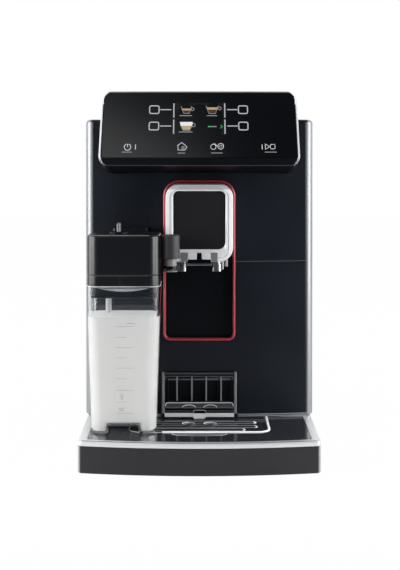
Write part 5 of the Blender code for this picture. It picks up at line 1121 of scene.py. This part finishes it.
def make_slot_highlights():
    """Painted highlights: a fine grey rim round each slot, with brighter ends."""
    for number, (depth, half) in enumerate(SLOTS, 1):
        end = half - SLOT_ROUND
        path = [(end, depth - SLOT_ROUND)]
        path += arc((-end, depth), SLOT_ROUND, 270, -180, 6)[:-1]
        path += [(-x, 2 * depth - y) for x, y in path]
        # painted highlight: grey rim for the light along each slot's edge
        add_bead("slot_rim_%d" % number, "edge_grey", "tray",
                 [(x, y, 32.95) for x, y in path + path[:1]], 0.45)
        for name, side in SIDES:
            # painted highlight: bright beads at the rounded ends of each slot
            add_bead("slot_end_%s_%d" % (name, number), "painted_highlight_white", "tray",
                     [(side * x, y, 33.1)
                      for x, y in arc((end, depth), SLOT_ROUND, -60, 120, 6)], 0.5)


def make_drains():
    """Sleeve painted bright as a highlight, dark ring and dark bowl of both drain holes."""
    for name, side in SIDES:
        for piece, look, profile in (
                # painted highlight: the sleeve is painted bright for the light its far side catches
                ("sleeve", "painted_highlight_white",
                 ((6.1, 30.6), (6.1, 34.1), (6.3, 34.1), (6.3, 30.6), (6.1, 30.6))),
                ("ring", "band_grey",
                 ((6.35, 30.6), (6.35, 34.1), (6.8, 33.9), (6.9, 30.6), (6.35, 30.6))),
                ("bowl", "recess_black", ((0, 30.4), (6, 30.9), (6, 30.6), (0, 30.1)))):
            add_lathe("drain_%s_%s" % (piece, name), look, "tray", profile, (side * 10.3, -136), 36)


def make_rim_shade_line():
    """Painted shade: a fine grey line along the front edge of the bright rim, where the edge turns
    into shade, from the foremost points of the rim's mesh that make a smooth bow."""
    front = []
    for x, y in sorted({(round(vert.co.x / MM, 2), round(vert.co.y / MM, 2))
                        for vert in nodes["tray_rim"].data.vertices if vert.co.y / MM < -200}):
        while len(front) > 1 and (front[-1][0] - front[-2][0]) * (y - front[-2][1]) <= (
                front[-1][1] - front[-2][1]) * (x - front[-2][0]):
            front.pop()
        front.append((x, y))
    # painted shade along the edge between the rim's top and front faces
    add_bead("rim_shade_line", "band_grey", "tray",
             [(x, y + 2.6, 34.05) for x, y in front if abs(x) < 106], 0.35)


CONTAINER_HALF = 33.9


def make_container_pieces():
    """Posts and a thin line painted as reflections, a lip painted as a highlight, finger strip and
    tab on the front of the grounds container.
    """
    # painted reflection: grey posts for the light mirrored along the plate's side edges
    for name, left in (("left", -36.5), ("right", CONTAINER_HALF)):
        add_block("container_post_" + name, "edge_grey", "tray",
                  (left, -110.4, 34.5), (left + 2.6, -106, 78.2), 0.8, 4)
    # painted highlight and reflection: the lip stands for light on the edge above, the thin line
    # for the first slot mirrored in the front
    for name, look, near, far, low, high, width, segments in (
            ("lip", "dark_grey", -111.1, -109, 76, 78, 0.3, 2),
            ("line", "band_grey", -110.2, -108.5, 39.7, 40.7, 0.2, 2),
            ("strip", "strip_silver", -111.2, -108, 34.5, 38.2, 0.35, 3)):
        add_block("container_" + name, look, "tray",
                  (-CONTAINER_HALF, near, low), (CONTAINER_HALF, far, high), width, segments)
    add_bead("tab_hoop", "bright_edge", "tray",
             [(-5.6, -111, 38), (-5.6, -111.6, 40.6), (-4.6, -111.8, 41.3),
              (4.9, -111.8, 41.3), (5.9, -111.6, 40.6), (5.9, -111, 38)], 0.45)
    add_block("finger_tab", "strip_silver", "tray",
              (-6, -111.85, 33), (6.2, -111.1, 35.6), 0.15, corners=(1.6, 0))


SHELF_HALF = 33.4
SHELF_FRONT = -109.6


def make_shelf_pieces():
    """Band, ribs and lower bar of the folding shelf for small cups, with painted highlights along
    the bar's edge and scoops.
    """
    add_block("shelf_band", "band_light", "shelf",
              (-SHELF_HALF, -109.3, 70.2), (SHELF_HALF, -107.6, 74.4), 0.3)
    for number, middle in enumerate((-21.8, -7.3, 6.7, 21.2), 1):
        add_block("shelf_rib_%d" % number, "edge_grey", "shelf",
                  (middle - 0.75, -109.7, 49.8), (middle + 0.75, -107.6, 73.6), 0.35, 3)
    add_block("shelf_bar", "band_grey", "shelf",
              (-SHELF_HALF, -109.5, 42.8), (SHELF_HALF, -107.2, 48.7), 0.4, 3, (0.8, 2.2))
    right = [(31.4, 48.2), (33, 46.6), (33, 45)]
    edge = [(-x, z) for x, z in reversed(right)] + right
    scoop = ((-6.7, 43.9), (-5, 45.2), (-2.5, 45.9), (0, 46.1), (2.5, 45.9), (5, 45.2),
             (6.7, 43.9))
    # painted highlight: bright beads along the bar's edge and its scoops
    for name, look, points, radius in (
            ("bar_edge", "painted_highlight_white", edge, 0.48),
            ("bar_foot", "edge_grey", [(-33, 43.2), (33, 43.2)], 0.36),
            ("scoop_left", "painted_highlight_white", [(x - 10.1, z) for x, z in scoop], 0.4),
            ("scoop_right", "painted_highlight_white", [(x + 10.8, z) for x, z in scoop], 0.4)):
        add_bead("shelf_" + name, look, "shelf", [(x, SHELF_FRONT, z) for x, z in points], radius)


# Back of the machine

SCREW_PLACES = ((-101, 39.6), (101, 39.6), (-101, 178), (101, 178), (-101, 312), (101, 312))


def make_rear_screws():
    """Cross-head screws of the rear panel."""
    for number, (x, z) in enumerate(SCREW_PLACES, 1):
        shape = bmesh.new()
        bead(shape, [(x, 214.8, z), (x, 215.7, z)], 2.6, 24)
        ease_sharp(shape, 0.3)
        add_piece("rear_screw_%d" % number, shape, "drawn_steel")
        shape = bmesh.new()
        for half, width in ((1.9, 0.35), (0.35, 1.9)):
            block(shape, (x - half, 215.68, z - width), (x + half, 215.78, z + width))
        add_piece("rear_screw_cross_%d" % number, shape, "recess_black")


def main():
    scene.view_settings.view_transform = "Standard"
    for make in (make_camera, make_world, make_lamps, make_floor, make_finishes,
                 make_zoned_finishes, dress_pieces, make_panel_graphics, make_head_lines,
                 make_spout_bezel, make_bezel_lines, make_spout_face, make_spout_chin,
                 make_nozzles, make_red_ring, make_front_lines, make_jug, make_milk,
                 make_jug_marks, make_lid_lines, make_lid_knob, make_milk_spout,
                 make_dish_highlights, make_slot_highlights, make_drains, make_rim_shade_line,
                 make_container_pieces, make_shelf_pieces, make_rear_screws):
        make()


main()
